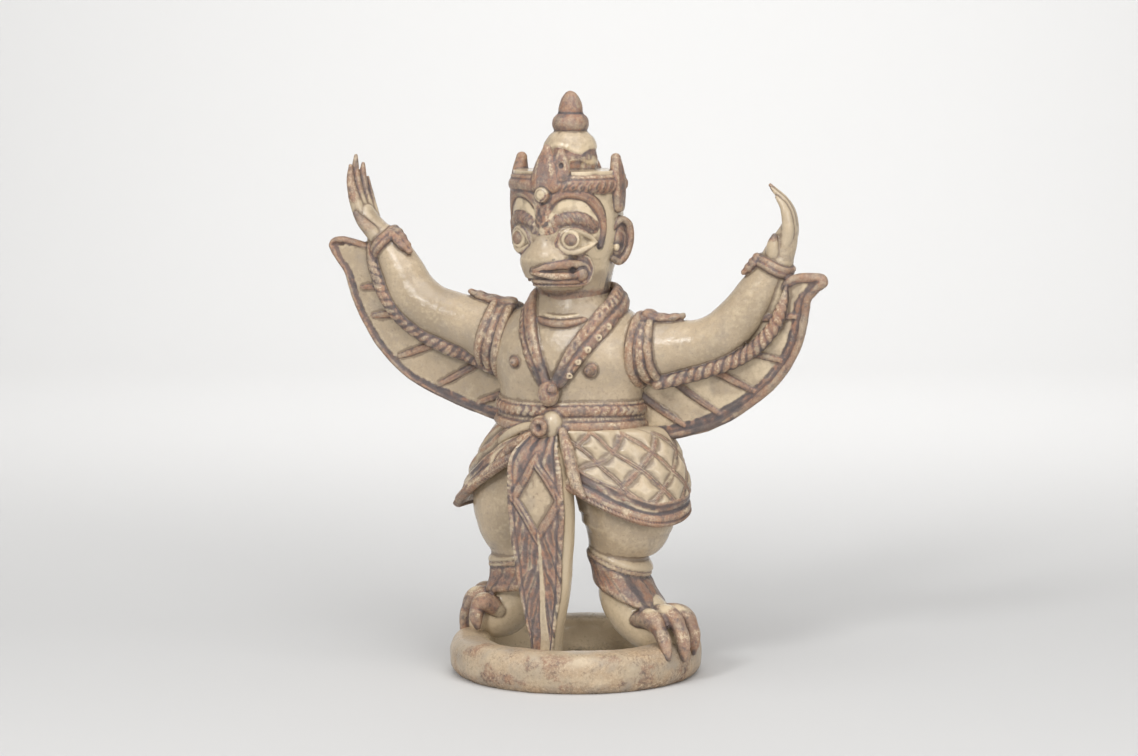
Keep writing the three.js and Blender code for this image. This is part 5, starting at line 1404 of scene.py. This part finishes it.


# Paint by place, in the head's own straight frame: irises and their rings, the pit in the corner of the mouth
# and the hole of each ear, darkened as painted shade, the ring in the boss with a painted shadow on one side,
# the pierced leaf of the dome with painted shade in its hole, brown over the bridge, yellow glaze that ran
# into the neck, and the neck made darker and browner under the chin, partly brown glaze and partly painted
# shade.
def carveFace(p, paint):
    values = headValues
    a = np.radians(-values["turn"])
    q = p - np.asarray(values["axis"])
    x, y, z = q[:, 0] * np.cos(a) - q[:, 1] * np.sin(a), q[:, 0] * np.sin(a) + q[:, 1] * np.cos(a), q[:, 2]
    q = places(x, y, z)
    rough, slow = lumps(q, 1.6, 73), lumps(q, 5, 75)

    def disc(centre, facing):
        away = q - np.asarray(centre, float)
        along = away @ facing
        return np.linalg.norm(away - along[:, None] * facing, axis=1), along > -4

    def add(channel, amount):
        paint[channel] = np.clip(paint[channel] + amount, 0, 1)

    ex, ez = values["eye"]
    for side in (1, -1):
        centre = np.array(onFace(side * ex - values["leftEyeIn"] * (side > 0), ez, -1.6))
        facing = unit(np.array([centre[0], centre[1], 0.0]))
        r, ahead = disc(centre, facing)
        eye = ahead & (r < 7)
        iris = ramp(values["iris"] + 0.4, values["iris"] - 0.3, r) * eye
        paint["iron"] = np.maximum(paint["iron"] * (1 - ramp(5.4, 4.8, r) * eye), iris)
        add("dark", 0.3 * ramp(11, 6.5, r) * ramp(5.2, 6.2, r) * ramp(-0.5, 0.5, slow + 0.4 * rough) * ahead)
        lined = 0.5 * iris + 0.35 * bell(r - values["iris"], 0.35, 0.35)
        add("dark", (lined + 0.25 * bell(r, 5.3, 0.45) * ramp(-0.7, 0.2, rough)) * eye)
        add("pool", 0.25 * bell(r, 4.3, 0.6) * eye)
        paint["relief"] += (-0.35 * bell(r - values["iris"], 0.4, 0.35) + 0.3 * bell(r, 4.3, 0.6)
                            - 0.3 * bell(r, 5.5, 0.5)) * eye
        r, ahead = disc(onFace(side * 15.4, 238.0), facing)
        add("dark", 0.7 * ramp(1.0, 0, r * 0.4 + 0.5 * rough) * ahead)
        # The pit in the corner of the mouth is dented and painted dark, painted shade for its depth.
        facing = unit(np.array([side * 0.6, -0.8, 0.0]))
        r, ahead = disc((side * 14.6, -23.6, 230.0), facing)
        add("dark", 0.75 * ramp(2.0, 0.4, r + 0.5 * rough) * ahead * (side * x > 10))
        paint["relief"] += -0.9 * ramp(2.3, 0.8, r) * ahead * (side * x > 10)
        # The ear's hole is painted dark, a painted shade.
        r, ahead = disc((side * 31, 2.4, 242.6), np.array([side, 0, 0.0]))
        add("dark", 0.7 * ramp(2.4, 1.2, r) * (side * x > 26) * (y > 0))
        r, ahead = disc(onFace(side * 27.6, 243.6), unit(np.array([side * 0.95, -0.3, 0])))
        add("dark", 0.6 * ramp(4.4, 2.0, r + 1.4 * rough) * ahead * ramp(236, 242, z))
    r, ahead = disc(onFace(*values["boss"], 3.8), forward)
    boss = ahead & (r < 6)
    paint["iron"] = paint["iron"] * (1 - 0.95 * ramp(4.9, 4.3, r) * boss)
    paint["relief"] += (-0.5 * bell(r, 3.0, 0.5) - 0.3 * bell(r, 0.1, 0.6)) * boss
    # The dark on the boss ring's one side is a painted shadow.
    add("dark", (0.3 * bell(r, 3.0, 0.3) + 0.85 * bell(r, 5.0, 0.5) * (x > 0)) * boss)
    add("pool", 0.6 * ramp(4, 1, r) * boss)
    # Brushed lines: how far each place is from a line, measured round the face and up.
    around = np.arctan2(x, -y) * values["halfDepth"]
    ahead = (y < 4) & (np.hypot(x, y) > 24) & (z > 236)

    def fromLine(name, side):
        line = curveAt(faceLines[name], np.linspace(0, 1, 60))
        across = np.arcsin(np.clip(side * line[:, 0] / values["halfWidth"], -1, 1)) * values["halfDepth"]
        near = np.full(len(z), 99.0)
        for k in range(len(line)):
            near = np.minimum(near, np.hypot(around - across[k], z - line[k, 1]))
        return np.where(ahead, near, 99.0)
    for side in (1, -1):
        toArch, toBrow = fromLine("arch", side), fromLine("brow", side)
        toLid = np.minimum(fromLine("upperLid", side), fromLine("lowerLid", side))
        broad = 1 - 0.45 * ramp(262, 248, z)
        add("iron", 1.0 * ramp(4.0 * broad, 2.8 * broad, toArch + 0.5 * slow)
            + 0.95 * ramp(4.3, 3.0, toBrow + 0.4 * rough)
            + 0.5 * ramp(1.8, 0.6, toLid) * ramp(-0.5, 0.3, slow))
        add("dark", 0.45 * bell(toArch, 3.2, 0.7) * ramp(-0.5, 0.3, rough)
            + 0.45 * ramp(3, 0, toArch) * ramp(0.0, 0.7, slow + 0.5 * rough))
        add("dark", 0.75 * ramp(2.6, 0.8, toArch) * ramp(256, 247, z)
            + 0.3 * bell(toLid, 0, 0.7) * ramp(-0.5, 0.3, rough))
        strokes = np.sin(1.5 * around * side + 1.0 * (z - 258) + 1.8 * slow)
        add("dark", ramp(4.3, 3.0, toBrow) * (0.22 + 0.3 * ramp(-0.1, 0.8, strokes)) * ramp(-1.2, 0.0, rough))
        add("pool", 0.65 * ramp(4.0, 3.0, toBrow) * ramp(0.3, 0.9, -strokes) * ramp(-0.2, 0.5, rough))
        add("pool", 0.85 * bell(toArch, 5.8, 1.7) * ramp(-0.9, 0.1, slow) * ramp(270, 266, z)
            * ramp(3.8, 4.8, toBrow))
        paint["relief"] += (
            0.13 * strokes * ramp(4.2, 3.0, toBrow) - 0.35 * bell(toArch, 0.4, 0.8) * (z > 256)
            - 0.3 * bell(toLid, 0, 0.6))
    add("pool", (0.3 + 0.4 * ramp(8, 20, np.abs(x))) * ramp(222, 232, z) * (y < 12) * ramp(-1.2, 0.1, slow)
        * (1 - paint["iron"]))
    bridge = (
        ramp(6.4, 2.4, np.abs(x + 0.4) + 1.5 * slow) * ramp(247.6, 250.5, z + slow) * ramp(266, 258, z)
        * (y < -20))
    add("iron", 0.9 * bridge)
    add("dark", 0.35 * bridge * ramp(0.0, 0.6, slow + 0.5 * rough))
    specks = ramp(7.5, 3.5, np.abs(x)) * ramp(244.8, 247, z) * ramp(252.5, 249.5, z) * (y < -20)
    add("dark", 0.8 * specks * ramp(0.1, 0.6, rough))
    stroke = bell(z - 235.4, 0.08 * x, 0.8) * ramp(1, 4, x) * ramp(14, 10, x) * (y < -22)
    add("dark", 0.75 * stroke * ramp(-0.6, 0.2, rough))
    # The pit in the pierced leaf of the dome is dented and painted dark, painted shade for its depth.
    r, ahead = disc((7.6, -20, 287.6), unit(np.array([0.35, -1.0, 0.0])))
    pit = ramp(1.9, 0.9, r) * (y < -8)
    add("dark", pit)
    paint["relief"] -= 1.2 * pit
    # Under the chin the neck is made darker and browner, partly its brown glaze and partly painted shade
    # under the head.
    neck = ramp(226, 217, z) * (y < 12)
    add("pool", 0.2 * neck * ramp(-0.2, 0.8, lumps(q, 9, 72)))
    add("dark", 0.35 * neck * ramp(0.1, 0.7, slow) * (y > -24))
    add("iron", 0.56 * ramp(221, 217, z) * (y < 12))
    cheek = ramp(10, 3, np.abs(y - 1)) * (np.abs(x) > 18) * ramp(240, 232, z) * (z > 214)
    add("dark", 0.7 * cheek * ramp(-0.3, 0.5, lumps(q * [1, 1, 0.35], 3.2, 74)))


def makeHead(values):
    parts = makeFace(values) + makeEar(1) + makeEar(-1) + makeCrown()
    parts = [turned(made, values["turn"], values["axis"]) for made in parts]

    # The snout, the cheeks and the brow blend into each other; the lips, eyes and crown keep their edges.
    def soften(p):
        x, y, z = p[:, 0] + 2.4, p[:, 1] + 5, p[:, 2]
        snout = (
            ramp(235.6, 237.6, z) * ramp(21, 16, np.abs(x)) * ramp(252, 248, z)
            * ramp(5.6, 6.8, np.hypot(np.abs(x) - 16.4, z - 246.8))
            + ramp(219.4, 217.6, z))
        brow = ramp(252.6, 254.6, z) * ramp(267, 263, z) * ramp(28, 25, np.abs(x))
        return (0.9 * snout + 0.2 * brow) * ramp(-8, -13, y)
    return joinClay(
        "headAndCrown", parts, values["grain"], smoothing=2, crumb=0.08, seed=71, carve=carveFace,
        soften=soften)


# Glaze.

glazeColours = {
    "cream": (0.488, 0.382, 0.262), "olive": (0.275, 0.216, 0.146), "grey": (0.35, 0.29, 0.228),
    "pool": (0.66, 0.535, 0.365), "brown": (0.3, 0.166, 0.117), "plum": (0.19, 0.138, 0.127),
    "orange": (0.34, 0.16, 0.09), "dark": (0.072, 0.064, 0.069), "bare": (0.44, 0.305, 0.19),
    "dirt": (0.16, 0.11, 0.075),
}


# Nodes are made by short helpers, so that each line of the layers below reads as one step of the colour.
def makeGlaze(name, colours):
    material = bpy.data.materials.new(name)
    material.use_nodes = True
    nodes, links = material.node_tree.nodes, material.node_tree.links
    shader = nodes["Principled BSDF"]
    place = nodes.new("ShaderNodeTexCoord").outputs["Object"]

    def feed(socket, value):
        if isinstance(value, bpy.types.NodeSocket):
            links.new(value, socket)
        else:
            socket.default_value = value

    def noise(scale, detail, roughness=0.55):
        node = nodes.new("ShaderNodeTexNoise")
        for socket, value in (
                ("Vector", place), ("Scale", scale), ("Detail", detail), ("Roughness", roughness)):
            feed(node.inputs[socket], value)
        return node.outputs["Fac"]

    def mathNode(kind, a, b):
        node = nodes.new("ShaderNodeMath")
        node.operation = kind
        feed(node.inputs[0], a)
        feed(node.inputs[1], b)
        return node.outputs[0]

    def plus(a, b):
        return mathNode("ADD", a, b)

    def times(*values):
        total = values[0]
        for value in values[1:]:
            total = mathNode("MULTIPLY", total, value)
        return total

    def steps(value, low, high):
        node = nodes.new("ShaderNodeMapRange")
        node.interpolation_type = "SMOOTHSTEP"
        for socket, amount in (("Value", value), ("From Min", low), ("From Max", high)):
            feed(node.inputs[socket], amount)
        return node.outputs["Result"]

    def blend(share, a, b):
        node = nodes.new("ShaderNodeMix")
        node.data_type = "RGBA"
        feed(node.inputs["Factor"], share)
        for socket, tone in ((node.inputs[6], a), (node.inputs[7], b)):
            feed(socket, (*colours[tone], 1.0) if isinstance(tone, str) else tone)
        return node.outputs[2]

    # Lays tones over a base one by one. Each layer is its tone and the factors of its share.
    def layers(base, *over):
        for tone, *factors in over:
            base = blend(times(*factors), base, tone)
        return base

    # The amount, shaken by a noise so that its edges are ragged: amount + (noise - 0.5) * share.
    def shaken(amount, by, share):
        return plus(amount, times(mathNode("SUBTRACT", by, 0.5), share))

    def value(channel):
        node = nodes.new("ShaderNodeAttribute")
        node.attribute_name = channel
        return node.outputs["Fac"]

    iron, dark, pool, bare, hollow, fold = map(value, ("iron", "dark", "pool", "bare", "hollow", "fold"))
    large, patch, middle = noise(24, 4), noise(70, 5, 0.62), noise(180, 5, 0.65)
    ragged, fine, speck = noise(420, 5, 0.7), noise(800, 4, 0.7), noise(2300, 3, 0.75)
    crumbs, veil = noise(640, 6, 0.8), noise(130, 5, 0.7)

    # Where the brushed iron lies, thin and ragged at its edges; the small hollows, dark partly with pooled
    # iron and grime and partly with painted shade; and the wide folds, dark with painted shade.
    raised = steps(shaken(hollow, fine, 0.4), 0.38, 0.1)
    shadeAndGrimeInHollows = steps(shaken(hollow, fine, 0.5), 0.55, 0.95)
    shadeInFolds = steps(fold, 0.55, 0.95)
    worn = times(raised, steps(patch, 0.46, 0.6), 0.8)
    ironEdge = mathNode("SUBTRACT", shaken(shaken(iron, ragged, 0.75), middle, 0.4), times(worn, 0.45))
    ironHere = steps(ironEdge, 0.22, 0.68)
    darkHere = steps(shaken(shaken(dark, ragged, 0.6), middle, 0.4), 0.26, 0.86)

    glaze = layers(
        "cream",
        ("olive", steps(large, 0.36, 0.66), 0.55),
        ("grey", steps(patch, 0.45, 0.72), 0.6),
        ("grey", steps(ragged, 0.52, 0.68), 0.4),
        ("olive", steps(fine, 0.54, 0.7), 0.35),
        ("pool", steps(middle, 0.5, 0.75), 0.4),
        ("pool", raised, 0.35),
        # Painted shade: the wide folds are made olive.
        ("olive", shadeInFolds, 0.75),
        # The small hollows are made dark, partly grime and partly painted shade.
        ("dirt", shadeAndGrimeInHollows, 0.6),
        ("pool", steps(shaken(pool, ragged, 0.6), 0.2, 0.9), 0.85))
    clay = blend(steps(patch, 0.35, 0.7), "bare", "grey")
    body = blend(steps(bare, 0.2, 0.9), glaze, clay)
    rust = layers(
        blend(steps(patch, 0.38, 0.62), "brown", "plum"),
        ("orange", steps(middle, 0.45, 0.62), 0.72),
        ("grey", steps(ragged, 0.5, 0.7), 0.35),
        ("bare", raised, 0.25),
        ("cream", worn, 0.45),
        # Dark in the hollows of the iron, partly pooled iron and partly painted shade.
        ("dark", shadeAndGrimeInHollows, 0.62),
        ("plum", steps(crumbs, 0.5, 0.62), steps(veil, 0.42, 0.6), 0.5),
        ("dark", steps(veil, 0.5, 0.62), steps(ragged, 0.42, 0.56), 0.6),
        ("pool", steps(crumbs, 0.53, 0.44), steps(veil, 0.6, 0.46), steps(pool, -0.2, 0.35),
         plus(times(raised, 0.6), 0.25)))
    colour = layers(
        body,
        (rust, ironHere, 0.96),
        ("pool", steps(pool, 0.35, 0.9), steps(ragged, 0.4, 0.6), 0.6),
        ("pool", steps(pool, 0.75, 1.0), 0.7),
        ("dark", darkHere, 0.75),
        ("dirt", steps(crumbs, 0.56, 0.66), steps(veil, 0.46, 0.6), 0.4),
        ("dirt", bare, steps(crumbs, 0.51, 0.6), steps(veil, 0.38, 0.58), 0.75),
        ("pool", bare, steps(crumbs, 0.49, 0.4), steps(patch, 0.6, 0.46), 0.65),
        ("dirt", steps(speck, 0.6, 0.78), 0.4),
        ("pool", steps(speck, 0.42, 0.28), 0.22))
    feed(shader.inputs["Base Color"], colour)
    dull = plus(times(ironHere, 0.22), times(bare, 0.4))
    feed(shader.inputs["Roughness"], plus(plus(0.07, dull), times(middle, 0.16)))
    feed(shader.inputs["IOR"], 1.5)

    gritty = times(plus(crumbs, times(speck, 0.3)), plus(times(ironHere, 1.3), times(bare, 0.9)))
    bump = nodes.new("ShaderNodeBump")
    feed(bump.inputs["Strength"], 0.5)
    feed(bump.inputs["Distance"], 0.0008)
    feed(bump.inputs["Height"], plus(plus(times(middle, 0.9), times(fine, 0.35)), gritty))
    feed(shader.inputs["Normal"], bump.outputs["Normal"])
    return material


# Putting it together.

print("ring base")
pieces = [makeRing(ringBase)]
print("legs and feet")
pieces.append(makeLegs(legValues))
print("skirt and sash")
pieces.append(makeSkirt(skirtValues))
pieces.append(makeSash(sashValues))
print("torso")
pieces.append(makeTorso(torsoValues))
print("arms and wings")
pieces.append(makeArm("rightArmAndWing", armValues["right"], armValues, 81))
pieces.append(makeArm("leftArmAndWing", armValues["left"], armValues, 91))
print("head and crown")
pieces.append(makeHead(headValues))

print("glaze")
glaze = makeGlaze("glazed stoneware", glazeColours)
for piece in pieces:
    piece.data.materials.clear()
    piece.data.materials.append(glaze)
    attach(piece, "root")
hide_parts("garuda_figure")
print("triangles", {piece.name: sum(len(f.vertices) - 2 for f in piece.data.polygons) for piece in pieces})


# Floor, light and camera.

# Each lamp is its power, size, place and target. The camera stands a little above the figure's middle and 22
# degrees round to its left, and its places are in millimetres.
studio = {
    "floor": 0.62, "world": 0.4, "turn": 22, "halfWidth": 5, "bend": 1.2, "wall": 2.8, "top": 5.0,
    "lamps": {
        "front left": (26.0, 0.62, (-0.35, -2.3, 1.5), (0, 0, 0.15)),
        "overhead": (27.5, 2.0, (0.4, -0.7, 1.95), (0.1, 0, 0.1)),
        "right side": (15.5, 1.2, (1.7, -1.6, 0.8), (0, 0, 0.15)),
        "wall": (31.0, 1.8, (-0.3, 1.1, 1.6), (-0.95, 2.6, 0.6)),
    },
}
cameraValues = {
    "turn": 22, "dip": 6.19, "away": 1800, "aside": 3.7, "height": 362, "lens": 101.9, "sensor": 36}


# A floor that curves up into the backdrop, as one sheet: flat, then a quarter circle, then upright.
def makeBackdrop(values):
    quarter = np.linspace(0, np.pi / 2, 24)
    bend, wall = values["bend"], values["wall"]
    y = np.concatenate([[-4.0, -1.0, 0.5], wall - bend + bend * np.sin(quarter), [wall]])
    z = np.concatenate([[0.0, 0.0, 0.0], bend - bend * np.cos(quarter), [values["top"]]])
    x = np.linspace(-values["halfWidth"], values["halfWidth"], 5)[:, None]
    a = np.radians(values["turn"])
    sheet = places(x * np.cos(a) - y * np.sin(a), x * np.sin(a) + y * np.cos(a), z)
    rows, columns = sheet.shape[:2]
    i, j = np.meshgrid(np.arange(rows - 1), np.arange(columns - 1), indexing="ij")
    corner = (i * columns + j).ravel()
    faces = np.stack([corner, corner + columns, corner + columns + 1, corner + 1], 1)
    mesh = bpy.data.meshes.new("backdrop")
    mesh.from_pydata(sheet.reshape(-1, 3).tolist(), [], faces.tolist())
    mesh.polygons.foreach_set("use_smooth", np.ones(len(mesh.polygons), bool))
    paper = bpy.data.materials.new("paper")
    paper.use_nodes = True
    shade = values["floor"]
    inputs = paper.node_tree.nodes["Principled BSDF"].inputs
    inputs["Base Color"].default_value = (shade, shade * 0.992, shade * 0.98, 1)
    inputs["Roughness"].default_value = 0.9
    mesh.materials.append(paper)
    return addObject("backdrop", mesh)


def aimed(made, place, direction):
    made.location = place
    made.rotation_euler = Vector(direction).to_track_quat("-Z", "Y").to_euler()


print("floor, light and camera")
makeBackdrop(studio)
for name, (power, size, place, target) in studio["lamps"].items():
    lamp = bpy.data.lights.new(name, "AREA")
    lamp.shape, lamp.size, lamp.energy = "DISK", size, power
    aimed(addObject(name, lamp), place, Vector(target) - Vector(place))
world = bpy.data.worlds.new("studio")
world.use_nodes = True
background = world.node_tree.nodes["Background"].inputs
background["Color"].default_value = (1, 1, 1, 1)
background["Strength"].default_value = studio["world"]
bpy.context.scene.world = world
bpy.context.scene.view_settings.view_transform = "Standard"

turn, dip = np.radians(cameraValues["turn"]), np.radians(cameraValues["dip"])
back = np.array([np.sin(turn), -np.cos(turn), 0])
aside = np.array([np.cos(turn), np.sin(turn), 0])
spot = (
    back * cameraValues["away"] - aside * cameraValues["aside"] + drawnShift
    + upward * cameraValues["height"])
camera = addObject("camera", bpy.data.cameras.new("camera"))
camera.data.lens, camera.data.sensor_width = cameraValues["lens"], cameraValues["sensor"]
camera.data.clip_end = 50
aimed(camera, spot * metre, -back * np.cos(dip) - upward * np.sin(dip))
bpy.context.scene.camera = camera
